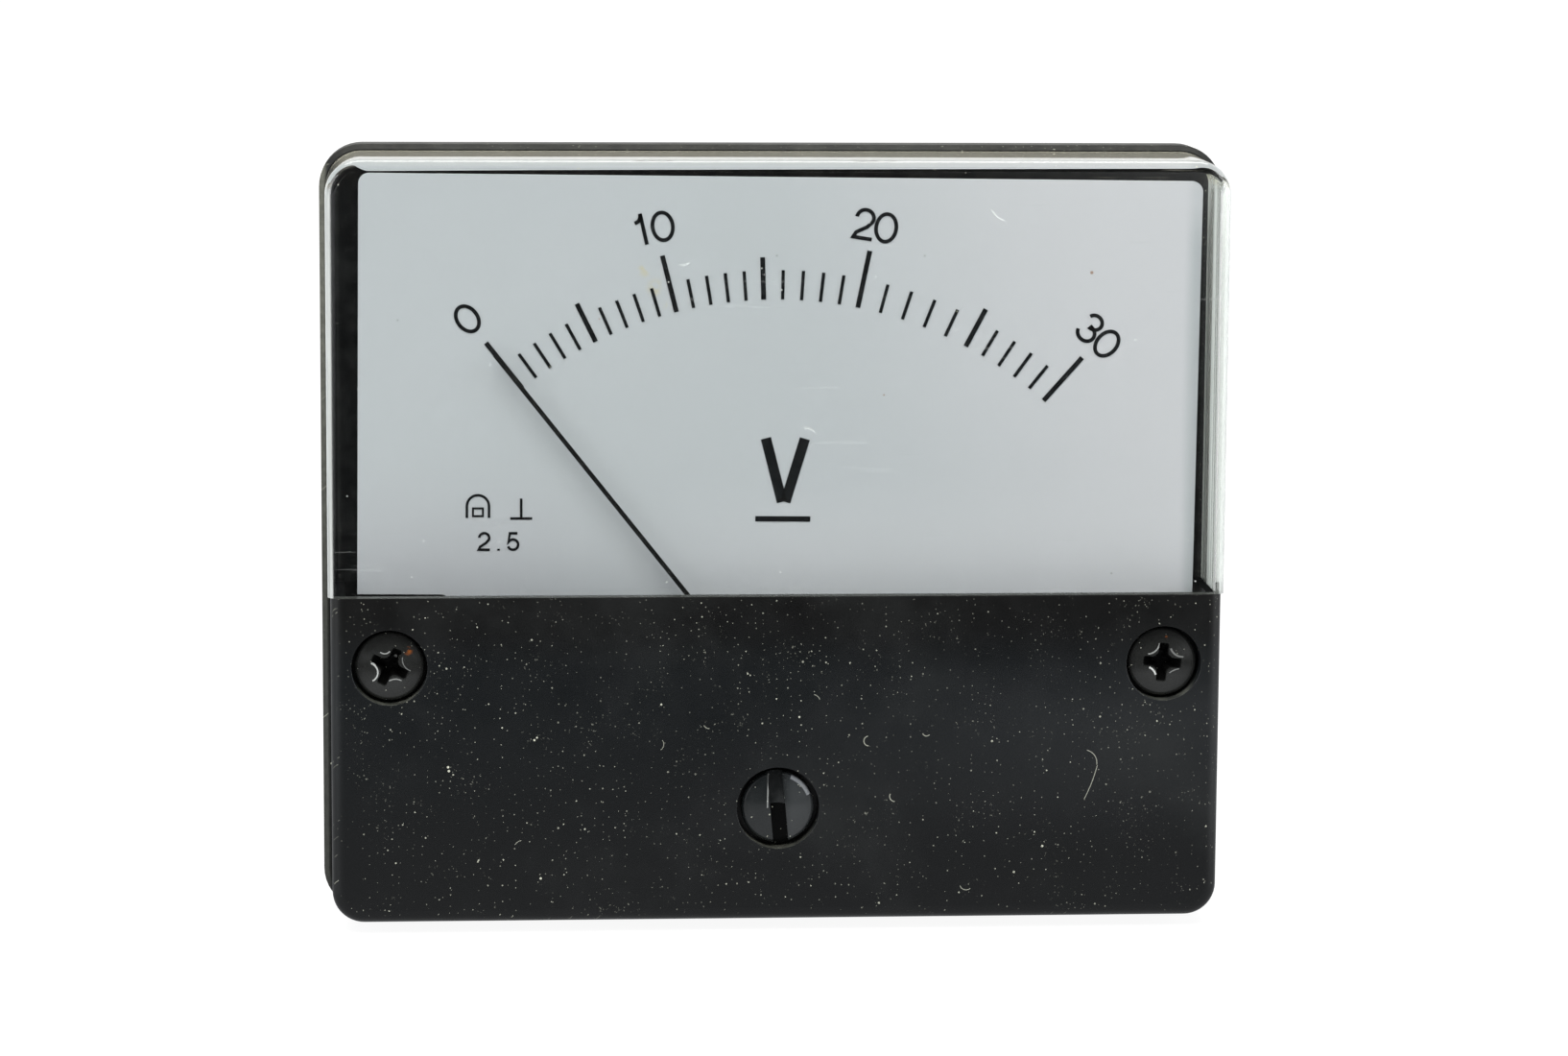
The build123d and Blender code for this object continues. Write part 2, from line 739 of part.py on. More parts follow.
# Pointer with a cranked blade, a hub and three balance arms
arm_mid_d = hub_d + hub_l / 2
with BuildPart() as pointer:
    with BuildLine(blade_plane) as blade_path:
        bends = ((collet_r, arm_mid_d), (crank_r, arm_mid_d), (crank_r, blade_d), (blade_l, blade_d))
        FilletPolyline(*bends, radius=crank_bend_r)
    with BuildSketch(Plane(origin=blade_path.line @ 0, x_dir=swing_plane.x_dir, z_dir=blade_path.line % 0)):
        Rectangle(blade_w, blade_t)
    sweep()
    with BuildSketch(swing_plane.offset(arm_mid_d - balance_arm_t / 2)):
        with Locations((0, -tail_l / 2)):
            Rectangle(balance_arm_w, tail_l)
        Rectangle(2 * side_arm_l, balance_arm_w)
    extrude(amount=balance_arm_t)
    with BuildSketch(swing_plane.offset(hub_d)):
        RegularPolygon(hub_r, 6)
    extrude(amount=hub_l)
    with BuildSketch(swing_plane.offset(hub_d)):
        RegularPolygon(staff_r + slide_gap, 6, major_radius=False)
    extrude(amount=hub_l, mode=Mode.SUBTRACT)
pointer.part.label = "pointer"
export_step(pointer.part, "parts/pointer.step")

weight_hole_w = balance_arm_w + 2 * slide_gap
weight_places = (
    (side_arm_l, 0, side_weight_l),
    (tail_l, 90, tail_weight_l),
    (side_arm_l, 180, side_weight_l),
)
with BuildPart() as balance_weights:
    for reach, turn, weight_l in weight_places:
        arm_plane = swing_plane.rotated((0, turn, 0)).offset(arm_mid_d)
        end_plane = Plane(arm_plane.origin, arm_plane.z_dir, arm_plane.x_dir)
        with BuildSketch(end_plane.offset(reach - weight_end_gap)):
            RegularPolygon(weight_r, 6)
            Rectangle(weight_hole_w, weight_hole_w, mode=Mode.SUBTRACT)
        extrude(amount=-weight_l)
balance_weights.part.label = "balance_weights"
export_step(balance_weights.part, "parts/balance_weights.step")


# Studs for the panel, each with a collar moulded flush into the flange
with BuildPart() as panel_studs:
    with BuildSketch(Plane.XZ):
        with GridLocations(2 * panel_stud_x, 2 * panel_stud_z, 2, 2):
            RegularPolygon(panel_collar_r, 6)
    extrude(amount=panel_collar_t)
    with BuildSketch(Plane.XZ):
        with GridLocations(2 * panel_stud_x, 2 * panel_stud_z, 2, 2):
            Circle(panel_stud_r)
    extrude(amount=-panel_stud_l)
panel_studs.part.label = "panel_studs"
export_step(panel_studs.part, "parts/panel_studs.step")


# Terminals through the drum floor
def terminal_spots():
    return Locations((-terminal_x, terminal_z), (terminal_x, terminal_z))


with BuildPart() as terminal_studs:
    with BuildSketch(depth_plane(-drum_floor_y)):
        with terminal_spots():
            RegularPolygon(terminal_head_w / 2, 6, major_radius=False)
    extrude(amount=terminal_head_h)
    with BuildSketch(depth_plane(-drum_floor_y)):
        with terminal_spots():
            Rectangle(terminal_neck_w, terminal_neck_w)
    extrude(amount=-drum_floor)
    with BuildSketch(depth_plane(-drum_l)):
        with terminal_spots():
            Circle(terminal_r)
    extrude(amount=-terminal_l)
terminal_studs.part.label = "terminal_studs"
export_step(terminal_studs.part, "parts/terminal_studs.step")

with BuildPart() as terminal_nuts:
    with BuildSketch(depth_plane(-drum_l)):
        with terminal_spots():
            RegularPolygon(terminal_head_w / 2, 6, major_radius=False)
            Circle(terminal_r + slide_gap, mode=Mode.SUBTRACT)
    extrude(amount=-terminal_nut_t)
terminal_nuts.part.label = "terminal_nuts"
export_step(terminal_nuts.part, "parts/terminal_nuts.step")

# Series resistor and the wiring between the terminals and the movement
lead_y = ring_y + ring_l + bridge_leg_l + bridge_t + arm_t + lead_r
with BuildPart() as series_resistor:
    with BuildSketch(Plane.YZ.offset(-resistor_l / 2)):
        with Locations((lead_y, resistor_z)):
            Circle(resistor_r)
    extrude(amount=resistor_l)
series_resistor.part.label = "series_resistor"
export_step(series_resistor.part, "parts/series_resistor.step")


def bent_wire(points, radius):
    with BuildPart() as wire:
        with BuildLine() as path:
            FilletPolyline(*points, radius=lead_bend_r)
        with BuildSketch(Plane(origin=path.line @ 0, z_dir=path.line % 0)):
            Rectangle(2 * radius, 2 * radius)
        sweep()
    return wire.part


terminal_head_y = drum_floor_y - terminal_head_h
solder_z = pivot_z + anchor_tail_l - arm_w / 2
resistor_x = resistor_l / 2
coil_lead = (
    (-resistor_x, lead_y, resistor_z),
    (-lead_left_x, lead_y, resistor_z),
    (-lead_left_x, lead_y, solder_z),
    (-arm_w / 2, lead_y, solder_z),
)
terminal_lead = (
    (resistor_x, lead_y, resistor_z),
    (terminal_x, lead_y, resistor_z),
    (terminal_x, lead_y, terminal_z),
    (terminal_x, terminal_head_y, terminal_z),
)
with BuildPart() as resistor_leads:
    add(bent_wire(coil_lead, lead_r))
    add(bent_wire(terminal_lead, lead_r))
resistor_leads.part.label = "resistor_leads"
export_step(resistor_leads.part, "parts/resistor_leads.step")

wire_y = ring_y + ring_l + wire_r
wire_points = (
    (-terminal_x, terminal_head_y, terminal_z),
    (-terminal_x, wire_y, terminal_z),
    (-terminal_x, wire_y, pivot_z + bridge_h / 2),
)
with BuildPart() as return_wire:
    add(bent_wire(wire_points, wire_r))
return_wire.part.label = "return_wire"
export_step(return_wire.part, "parts/return_wire.step")
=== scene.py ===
import math
import bmesh
import bpy
from mathutils import Matrix, Vector


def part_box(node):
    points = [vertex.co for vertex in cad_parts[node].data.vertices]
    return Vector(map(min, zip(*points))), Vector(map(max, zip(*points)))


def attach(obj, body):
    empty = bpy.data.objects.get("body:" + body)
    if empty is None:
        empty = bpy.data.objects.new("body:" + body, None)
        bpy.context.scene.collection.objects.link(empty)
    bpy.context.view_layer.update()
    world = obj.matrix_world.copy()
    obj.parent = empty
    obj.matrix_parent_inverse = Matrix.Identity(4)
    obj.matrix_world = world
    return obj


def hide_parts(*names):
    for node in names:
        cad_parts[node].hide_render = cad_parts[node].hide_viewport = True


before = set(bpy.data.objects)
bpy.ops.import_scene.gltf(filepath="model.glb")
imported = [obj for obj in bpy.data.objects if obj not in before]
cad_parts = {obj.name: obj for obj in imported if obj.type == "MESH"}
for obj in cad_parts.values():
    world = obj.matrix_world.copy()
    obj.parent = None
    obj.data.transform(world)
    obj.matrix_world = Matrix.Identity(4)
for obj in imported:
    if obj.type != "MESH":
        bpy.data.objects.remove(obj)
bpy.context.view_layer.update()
MM = 0.001

# Places that the frame gives
BASE_RIGHT, BASE_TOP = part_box("base_housing")[1][0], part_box("base_housing")[1][2]
DIAL_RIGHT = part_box("dial_plate")[1][0]
DIAL_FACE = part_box("dial_plate")[0][1]
WINDOW_LOW, WINDOW_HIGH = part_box("window_cover")
COVER_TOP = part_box("front_cover")[1][2]
RETAINER_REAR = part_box("zero_retainer")[1][1]
SCREW_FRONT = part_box("cover_screw_left")[0][1]
ZERO_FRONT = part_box("zero_screw")[0][1]

# The clear window stops a hair short of the flange and of the black cover
SEAM_GAP = 0.01 * MM
WINDOW_REAR = WINDOW_HIGH[1] - SEAM_GAP
WINDOW_FOOT = COVER_TOP + SEAM_GAP
WALL_T = 0.65 * MM
TOP_WALL_T = 0.40 * MM
PANE_T = 1.6 * MM
PANE_BACK = WINDOW_LOW[1] + PANE_T
EDGE_R = 0.85 * MM
CORNER_R = 2.8 * MM
CAVITY_EDGE_R = 0.12 * MM
CAVITY_CORNER_R = 2.1 * MM
LEAST_CORNER_R = 0.4 * MM
DRAFT = math.tan(math.radians(1.0))
TONGUE_HALF_W = 32.0 * MM
TONGUE_T = 0.72 * MM
CREASE_HAIR = 0.06 * MM
EDGE_STEPS = 12
CORNER_STEPS = 18
WINDOW_CREASE_DEG = 35

# The cover screws: a flat dome, a rounded rim and a tapered cross recess
HEAD_R = 2.65 * MM
HEAD_DEPTH = 1.8 * MM
SHANK_R = 1.45 * MM
DOME_H = 0.28 * MM
RIM_R = 0.32 * MM
CROSS_ARM_W = 0.86 * MM
CROSS_ARM_L = 1.72 * MM
CROSS_END_R = 0.12 * MM
CROSS_LOBE_R = 0.55 * MM
CROSS_DEPTH = 1.5 * MM
CROSS_FLOOR_SHARE = 0.40
LEFT_TURN_DEG = -26.0
RIGHT_TURN_DEG = -5.0

# The zero screw: a flat dome, a slot right across and an eccentric pin behind
ZERO_HEAD_R = 2.8 * MM
ZERO_HEAD_DEPTH = 1.6 * MM
ZERO_SHANK_R = 1.55 * MM
ZERO_DOME_H = 0.30 * MM
ZERO_RIM_R = 0.36 * MM
SLOT_HALF_W = 0.59 * MM
SLOT_HALF_L = 4.2 * MM
SLOT_DEPTH = 0.9 * MM
SLOT_TURN_DEG = 5.5
PIN_R = 0.5 * MM
PIN_OFFSET = 0.5 * MM
PIN_STEPS = 32

HEAD_STEPS = 96
DOME_STEPS = 12
RIM_STEPS = 8
LOBE_STEPS = 8
CUT_OVERRUN = 0.2 * MM
SOFT_EDGE_W = 0.08 * MM
SOFT_EDGE_STEPS = 3
SOFT_EDGE_DEG = 28
SCREW_CREASE_DEG = 32

# Print lies on the dial and has hardly any thickness
INK_T = 0.03 * MM
STROKE_MITRE = 0.35
NUMERAL_H, NUMERAL_STROKE = 2.42, 0.29
SMALL_H, SMALL_STROKE, SMALL_TURN_DEG = 1.42, 0.2, 0.5
UNIT_STROKE, UNDERLINE_STROKE = 0.80, 0.42
SIGN_STROKE, FINE_STROKE = 0.2, 0.16

# Picture points in the photo: each numeral with its turn in degrees, then the strokes and signs
NUMERAL_PX = (
    ("0", 487, 331.4, -37), ("1", 668.3, 238.5, -13), ("0", 690.2, 235.2, -9), ("2", 900.2, 232.8, 9),
    ("0", 922.8, 236.8, 8), ("3", 1135.0, 341.0, 40), ("0", 1152.3, 357.2, 42),
)
UNIT_STROKES_PX = (((797.6, 455.6), (814.4, 521.8)), ((838.2, 456.0), (817.8, 521.8)))
UNDERLINE_PX = ((786.6, 539.3), (843.8, 539.6))
COIL_SIGN_PX = (498, 531)
UPRIGHT_SIGN_PX = (543, 531)
ACCURACY_PX = (("2", (504.5, 563)), ("dot", (519.5, 563)), ("5", (534.5, 563)))

# Camera of the photo: a far, slightly raised view from the left of the middle
WIDTH_PX, HEIGHT_PX = 1634, 1100
FOCUS_PX = 4878.2
YAW, PITCH, ROLL = math.radians(4.18), math.radians(8.08), math.radians(0.35)
AIM = Vector((0.764, -6.0, 0.536)) * MM
DISTANCE = 362.8 * MM
SENSOR_W = 36
NEAR_CLIP, FAR_CLIP = 0.01, 50

backward = Vector((-math.sin(YAW) * math.cos(PITCH), -math.cos(YAW) * math.cos(PITCH), math.sin(PITCH)))
level_right = (-backward).cross(Vector((0, 0, 1))).normalized()
level_up = level_right.cross(-backward)
camera_right = level_right * math.cos(ROLL) + level_up * math.sin(ROLL)
camera_up = level_up * math.cos(ROLL) - level_right * math.sin(ROLL)
eye = AIM + backward * DISTANCE


def srgb(r, g, b):
    """A screen colour from 0 to 255 as the linear values that shaders take."""
    linear = []
    for level in (r, g, b):
        share = level / 255
        linear.append(share / 12.92 if share <= 0.04045 else ((share + 0.055) / 1.055) ** 2.4)
    return (*linear, 1)


class Tree:
    """Short helpers that add shader nodes and link them. Places are object coordinates in metres."""

    def __init__(self, owner, kind="Material"):
        owner.use_nodes = True
        self.owner = owner
        self.nt = owner.node_tree
        self.nt.nodes.clear()
        self.out = self.nt.nodes.new("ShaderNodeOutput" + kind)
        self.coords = self.nt.nodes.new("ShaderNodeTexCoord").outputs
        self.place = self.coords["Object"]

    def put(self, socket, value):
        if isinstance(value, bpy.types.NodeSocket):
            self.nt.links.new(value, socket)
        else:
            socket.default_value = value

    def node(self, kind, **inputs):
        """A node with its inputs set. A key that starts with p_ sets a property."""
        n = self.nt.nodes.new(kind)
        for key, value in inputs.items():
            if key.startswith("p_"):
                setattr(n, key[2:], value)
        for key, value in inputs.items():
            if not key.startswith("p_"):
                self.put(n.inputs[key.replace("_", " ")], value)
        return n

    def shader(self, kind, **inputs):
        return self.node(kind, **inputs).outputs[0]

    def math(self, op, a, b=0.0, c=0.0, clamp=False):
        n = self.nt.nodes.new("ShaderNodeMath")
        n.operation = op
        n.use_clamp = clamp
        for i, v in enumerate((a, b, c)):
            self.put(n.inputs[i], v)
        return n.outputs[0]

    def times(self, *values):
        out = values[0]
        for value in values[1:]:
            out = self.math("MULTIPLY", out, value)
        return out

    def most(self, *values):
        out = values[0]
        for value in values[1:]:
            out = self.math("MAXIMUM", out, value)
        return out

    def size_of(self, value):
        return self.math("ABSOLUTE", value)

    def vmath(self, op, a, b=(0, 0, 0)):
        n = self.nt.nodes.new("ShaderNodeVectorMath")
        n.operation = op
        self.put(n.inputs[0], a)
        self.put(n.inputs[1], b)
        return n.outputs["Value"] if op in ("LENGTH", "DISTANCE", "DOT_PRODUCT") else n.outputs[0]

    def axes(self, vector=None):
        """The x, y and z of a place."""
        return self.node("ShaderNodeSeparateXYZ", Vector=self.place if vector is None else vector).outputs

    def step(self, value, low, high, to_low=0.0, to_high=1.0):
        """A soft step from to_low at low to to_high at high."""
        n = self.nt.nodes.new("ShaderNodeMapRange")
        n.interpolation_type = "SMOOTHSTEP"
        for i, v in enumerate((value, low, high, to_low, to_high)):
            self.put(n.inputs[i], v)
        return n.outputs[0]

    def mix(self, share, a, b):
        n = self.nt.nodes.new("ShaderNodeMix")
        n.data_type = "RGBA"
        self.put(n.inputs[0], share)
        self.put(n.inputs[6], a)
        self.put(n.inputs[7], b)
        return n.outputs[2]

    def coat(self, base, share, colour, strength=1.0):
        """The base colour with a screen colour over it, by a share times a strength."""
        return self.mix(self.times(share, strength), base, srgb(*colour))

    def blend(self, share, a, b):
        """Shader a with a share of shader b."""
        n = self.node("ShaderNodeMixShader", Fac=share)
        self.nt.links.new(a, n.inputs[1])
        self.nt.links.new(b, n.inputs[2])
        return n.outputs[0]

    def noise(self, scale, detail=3.0, rough=0.55, stretch=(1, 1, 1), shift=(0, 0, 0)):
        place = self.node("ShaderNodeMapping", Vector=self.place, Scale=stretch, Location=shift).outputs[0]
        return self.shader("ShaderNodeTexNoise", Vector=place, Scale=scale, Detail=detail, Roughness=rough)

    def specks(self, scale, size, keep, shift=(0, 0, 0)):
        """Round specks in a share of the cells, with sizes that differ."""
        n = self.node("ShaderNodeMapping", Vector=self.place, Location=shift)
        v = self.node("ShaderNodeTexVoronoi", Vector=n.outputs[0], Scale=scale)
        tint = self.node("ShaderNodeSeparateColor", Color=v.outputs["Color"]).outputs
        core = self.math("LESS_THAN", v.outputs["Distance"], self.times(tint[1], size))
        return self.times(core, self.math("LESS_THAN", tint[0], keep))

    def flecks(self, scale, size, keep, shift=0.0):
        """Specks on a flat face. The place is sheared so that no face stretches them."""
        x, y, z = self.axes()
        along = self.math("ADD", x, y)
        across = self.math("ADD", self.math("ADD", z, y), shift)
        flat = self.node("ShaderNodeCombineXYZ", X=along, Y=across).outputs[0]
        v = self.node("ShaderNodeTexVoronoi", Vector=flat, Scale=scale, p_voronoi_dimensions="2D")
        tint = self.node("ShaderNodeSeparateColor", Color=v.outputs["Color"]).outputs
        radius = self.math("MULTIPLY_ADD", tint[1], size * 0.7, size * 0.3)
        core = self.math("LESS_THAN", v.outputs["Distance"], radius)
        chosen = self.math("LESS_THAN", tint[0], keep)
        tone = self.math("MULTIPLY_ADD", tint[2], 0.6, 0.4)
        return self.times(core, chosen, tone)

    def fibre(self, centre, radius, start, sweep, width):
        """A thin arc seen along Y, in mm. Its degrees run anticlockwise from +X."""
        flat = self.vmath("MULTIPLY", self.place, (1, 0, 1))
        off = self.vmath("SUBTRACT", flat, (centre[0] * MM, 0, centre[1] * MM))
        away = self.size_of(self.math("SUBTRACT", self.vmath("LENGTH", off), radius * MM))
        line = self.step(away, width * MM * 0.4, width * MM * 0.7, 1.0, 0.0)
        x, y, z = self.axes(off)
        # Two whole turns are added, so that the remainder is never taken of a negative angle
        turned = self.math("ADD", self.math("ARCTAN2", z, x), 4 * math.pi - math.radians(start))
        turned = self.math("MODULO", turned, 2 * math.pi)
        return self.times(line, self.math("LESS_THAN", turned, math.radians(sweep)))

    def spot(self, x, z, radius, soft=0.5):
        """A round spot seen along Y, in mm, with a soft share of its radius."""
        flat = self.vmath("MULTIPLY", self.place, (1, 0, 1))
        off = self.vmath("DISTANCE", flat, (x * MM, 0, z * MM))
        return self.step(off, radius * MM * (1 - soft), radius * MM, 1.0, 0.0)

    def spots(self, rows):
        return self.most(*[self.spot(*row) for row in rows])

    def top_share(self):
        """1 where the surface looks up."""
        n = self.node("ShaderNodeNewGeometry")
        return self.step(self.vmath("DOT_PRODUCT", n.outputs["Normal"], (0, 0, 1)), 0.3, 0.95)

    def bump(self, height, distance, strength=1.0, bevel=0.0):
        extra = {}
        if bevel:
            extra["Normal"] = self.shader("ShaderNodeBevel", Radius=bevel, p_samples=4)
        return self.shader("ShaderNodeBump", Height=height, Distance=distance, Strength=strength, **extra)

    def finish(self, shader):
        self.nt.links.new(shader, self.out.inputs["Surface"])
        return self.owner


def material(name):
    return Tree(bpy.data.materials.new(name))


# Black moulding with dust
LINT = srgb(198, 200, 184)
# Cells in a metre, largest speck in cells, share of cells that hold one, shift and strength
DUST_LAYERS = (
    (1800, 0.085, 0.34, 0.0, 0.50),
    (1050, 0.066, 0.27, 0.3, 0.80),
    (480, 0.042, 0.20, 0.7, 1.0),
)
# Centre x and z, radius, start and sweep in degrees, and width, in mm from the front
COVER_FIBRES = (
    ((23.6, -17.0), 1.03, -8, 84, 0.05),
    ((13.0, -14.37), 12.0, -27, 13.4, 0.05),
    ((6.95, -15.15), 0.38, 100, 170, 0.06),
    ((9.0, -19.5), 0.40, 150, 120, 0.06),
    ((14.6, -26.4), 0.5, 200, 110, 0.05),
    ((-9.3, -15.3), 0.5, 300, 100, 0.035),
    ((11.4, -14.5), 0.3, 200, 120, 0.06),
    ((-5.3, -13.6), 0.5, 210, 60, 0.045),
    ((-19.6, -23.4), 0.7, 100, 50, 0.04),
    ((2.6, -12.1), 0.6, 20, 60, 0.04),
)
# Centre x and z, radius and soft share
COVER_LUMPS = (
    (-25.28, -16.95, 0.11, 0.4), (-25.22, -17.25, 0.11, 0.4), (-18.7, -14.9, 0.10, 0.4),
    (-18.5, -14.7, 0.08, 0.4), (-18.23, -25.68, 0.11, 0.4), (-9.0, -12.2, 0.09, 0.4),
)


def black_tones(t):
    """Warm under the seam, with grime. Painted light makes the lower right paler, and painted shade makes it
    darker towards the foot and near black from just under the seam upwards.
    """
    x, y, z = t.axes()
    base = t.mix(t.noise(180, 3), srgb(9, 12, 14), srgb(15, 18, 20))
    base = t.coat(base, t.step(z, -8.5 * MM, -4.0 * MM), (24, 22, 20), 0.55)
    # Painted light: paler at the lower right
    painted_light = t.times(t.step(x, -6 * MM, 24 * MM), t.step(z, -7 * MM, -14 * MM), t.step(z, -25 * MM, -19 * MM))
    base = t.coat(base, painted_light, (36, 38, 40), 0.6)
    # Painted shade: darker towards the foot
    base = t.coat(base, t.step(z, -12 * MM, -26 * MM, 0.0, 0.8), (5, 6, 7))
    # Painted shade: near black from just under the seam upwards, over the base inside the window as well
    base = t.coat(base, t.step(z, -10 * MM, -6 * MM, 0.0, 0.7), (6, 6, 6))
    grime = t.step(t.noise(70, 4, 0.65, shift=(0.03, 0, 0.01)), 0.46, 0.72)
    return t.coat(base, grime, (40, 42, 42), 0.30)


def fine_dust(t):
    layers = [t.times(t.flecks(*row), strength) for *row, strength in DUST_LAYERS]
    patches = t.step(t.noise(95, 3, 0.6, shift=(0.07, 0, 0.02)), 0.36, 0.64, 0.30, 1.0)
    return t.times(t.most(*layers), patches)


def flock(t):
    tufts = t.step(t.noise(4200, 2, 0.7), 0.66, 0.74)
    areas = t.step(t.noise(260, 2, 0.6, shift=(0.2, 0, 0.4)), 0.50, 0.66)
    return t.times(tufts, areas, 0.26)


def top_lint(t, low, high):
    return t.times(t.top_share(), t.step(t.noise(900, 3), 0.35, 0.75, low, high))


def black_moulding(t, cover, dust, painted_shade_share, roughness, ior):
    """The moulding under its dust. Where the window covers it, painted shade puts a dark matt finish without
    reflections in its place.
    """
    colour = t.mix(cover, black_tones(t), LINT)
    sheen = t.step(t.noise(320, 3), 0.3, 0.7, roughness, roughness + 0.10)
    rough = t.math("ADD", sheen, t.times(cover, 0.4), clamp=True)
    height = t.math("ADD", t.times(t.noise(2600, 2), 0.5), t.times(dust, 1.5))
    moulding = t.shader("ShaderNodeBsdfPrincipled", Base_Color=colour, Roughness=rough, IOR=ior,
                        Normal=t.bump(height, 0.02 * MM, 0.5, 0.12 * MM))
    dull = t.shader("ShaderNodeBsdfDiffuse", Color=srgb(10, 11, 12))
    return t.finish(t.blend(painted_shade_share, moulding, dull))


def cover_black():
    t = material("cover_black")
    x, y, z = t.axes()
    dust = fine_dust(t)
    fibres = t.most(*[t.fibre(*row) for row in COVER_FIBRES])
    lumps = t.spots(COVER_LUMPS)
    cover = t.most(dust, flock(t), t.times(fibres, 0.5), t.times(lumps, 0.95), top_lint(t, 0.04, 0.14))
    # Painted shade: the ledge behind the window's pane
    ledge = t.math("GREATER_THAN", z, WINDOW_FOOT - 3 * SEAM_GAP)
    painted_shade_share = t.times(ledge, t.math("GREATER_THAN", y, PANE_BACK))
    return black_moulding(t, cover, dust, painted_shade_share, 0.30, 1.43)


def base_black():
    t = material("base_black")
    x, y, z = t.axes()
    dust = fine_dust(t)
    side = t.step(t.size_of(x), BASE_RIGHT - 0.7 * MM, BASE_RIGHT - 0.3 * MM)
    patches = t.step(t.noise(1400, 4, 0.7), 0.30, 0.70, 0.6, 1.0)
    film = t.times(side, t.step(z, -12 * MM, 24 * MM, 0.06, 0.20), patches)
    cover = t.most(dust, flock(t), top_lint(t, 0.02, 0.05), film)
    # Painted shade: the front of the base inside the window
    below = t.step(z, BASE_TOP - 1.2 * MM, BASE_TOP - 1.8 * MM)
    between = t.step(t.size_of(x), BASE_RIGHT - 1.1 * MM, BASE_RIGHT - 1.7 * MM)
    painted_shade_share = t.times(below, between, t.math("LESS_THAN", y, -1 * MM))
    return black_moulding(t, cover, dust, painted_shade_share, 0.52, 1.36)


# The clear window
WINDOW_SPECKS = ((700, 0.07, 0.14), (330, 0.04, 0.2, (0.02, 0, 0.013)), (1500, 0.10, 0.10, (0, 0.02, 0.031)))
WINDOW_HAIRS = (
    ((17.2, 26.0), 1.2, 200, 60, 0.05),
    ((2.0, 8.2), 0.8, 30, 70, 0.04),
    ((-7.5, 22.3), 0.9, 260, 50, 0.04),
)
LINED_WALL_X = 30 * MM


def wall_depth(t):
    """How far a place lies inside the window's drafted outer face, in metres."""
    x, y, z = t.axes()
    beside = t.most(t.math("SUBTRACT", t.size_of(x), WINDOW_HIGH[0] - CORNER_R), 0.0)
    above = t.most(t.math("SUBTRACT", z, WINDOW_HIGH[2] - CORNER_R), 0.0)
    off = t.math("SQRT", t.math("ADD", t.times(beside, beside), t.times(above, above)))
    draft = t.times(t.math("SUBTRACT", WINDOW_REAR, y), DRAFT)
    return t.math("SUBTRACT", t.math("SUBTRACT", CORNER_R, off), draft)


def matt_walls(t, near_top):
    """The matt rear edge, which the walls pipe to the front, a matt band on the rounded edge that
    paints its highlight, and matt pale lines on the inner face of the right wall that paint its streaks of
    light."""
    x, y, z = t.axes()
    depth = wall_depth(t)
    rear = t.times(t.math("GREATER_THAN", y, WINDOW_REAR - 0.02 * MM),
                   t.math("MULTIPLY_ADD", near_top, -0.40, 1.0))
    # Painted highlight: a matt white band on the rounded front edge
    rounded = t.times(t.step(y, WINDOW_LOW[1] + 1.05 * MM, WINDOW_LOW[1] + 0.85 * MM),
                      t.step(depth, 0.50 * MM, 0.34 * MM),
                      t.step(t.noise(800, 3, stretch=(1, 1, 0.06)), 0.30, 0.60, 0.30, 0.55),
                      t.math("MULTIPLY_ADD", near_top, -0.9, 1.0))
    # Painted light: matt pale lines on the inner face of the right wall
    inner = t.times(t.step(t.size_of(t.math("SUBTRACT", depth, WALL_T)), 0.16 * MM, 0.08 * MM),
                    t.math("GREATER_THAN", y, PANE_BACK + 0.05 * MM),
                    t.math("GREATER_THAN", x, LINED_WALL_X),
                    t.step(t.noise(900, 3, 0.5, stretch=(0.2, 1, 0.012)), 0.42, 0.60, 0.12, 0.80))
    return t.most(rear, rounded, inner)


def window_clear():
    t = material("window_clear")
    x, y, z = t.axes()
    haze = t.step(t.noise(900, 3), 0.35, 0.75)
    dust = t.most(*[t.specks(*row) for row in WINDOW_SPECKS])
    hairs = t.most(*[t.fibre(*row) for row in WINDOW_HAIRS])
    smears = t.times(t.step(t.noise(520, 2, 0.5, stretch=(0.2, 1, 5)), 0.68, 0.71),
                     t.step(t.noise(110, 2), 0.5, 0.62))
    rough = t.math("ADD", t.step(haze, 0, 1, 0.012, 0.030), t.times(smears, 0.12))
    glass = t.shader("ShaderNodeBsdfPrincipled", Base_Color=srgb(250, 251, 248), Roughness=rough, IOR=1.5,
                     Transmission_Weight=1.0)
    near_top = t.step(z, WINDOW_HIGH[2] - 2.6 * MM, WINDOW_HIGH[2] - 1.6 * MM)
    matt = t.shader("ShaderNodeBsdfDiffuse", Color=t.mix(near_top, srgb(236, 240, 238), srgb(242, 238, 218)))
    matt_share = t.most(matt_walls(t, near_top), t.times(dust, 0.5), t.times(hairs, 0.5),
                        t.times(smears, 0.04), t.times(t.top_share(), 0.06), t.times(haze, 0.004))
    body = t.blend(matt_share, glass, matt)
    # The cut foot stands on the black cover and takes its tone
    seam = t.shader("ShaderNodeBsdfDiffuse", Color=srgb(52, 54, 52))
    foot = t.math("LESS_THAN", z, WINDOW_FOOT + SEAM_GAP)
    foot = t.times(foot, t.step(x, -9.0 * MM, -8.3 * MM, 0.80, 0.88))
    body = t.blend(foot, body, seam)
    # Light for the dial passes the window straight
    ray = t.node("ShaderNodeLightPath").outputs
    clear = t.shader("ShaderNodeBsdfTransparent", Color=(0.93, 0.94, 0.93, 1))
    return t.finish(t.blend(t.most(ray["Is Shadow Ray"], ray["Is Diffuse Ray"]), body, clear))


# The dial: centre x and z, radius and soft share of each spot in mm
YELLOW_STAIN = ((-9.3, 19.3, 0.9, 0.9), (-10.2, 20.6, 0.7, 0.9), (-8.6, 18.0, 0.35, 0.7))
BROWN_SPOTS = ((24.35, 20.45, 0.16, 0.4), (8.35, 11.0, 0.09, 0.5), (-13.6, 16.9, 0.07, 0.5))


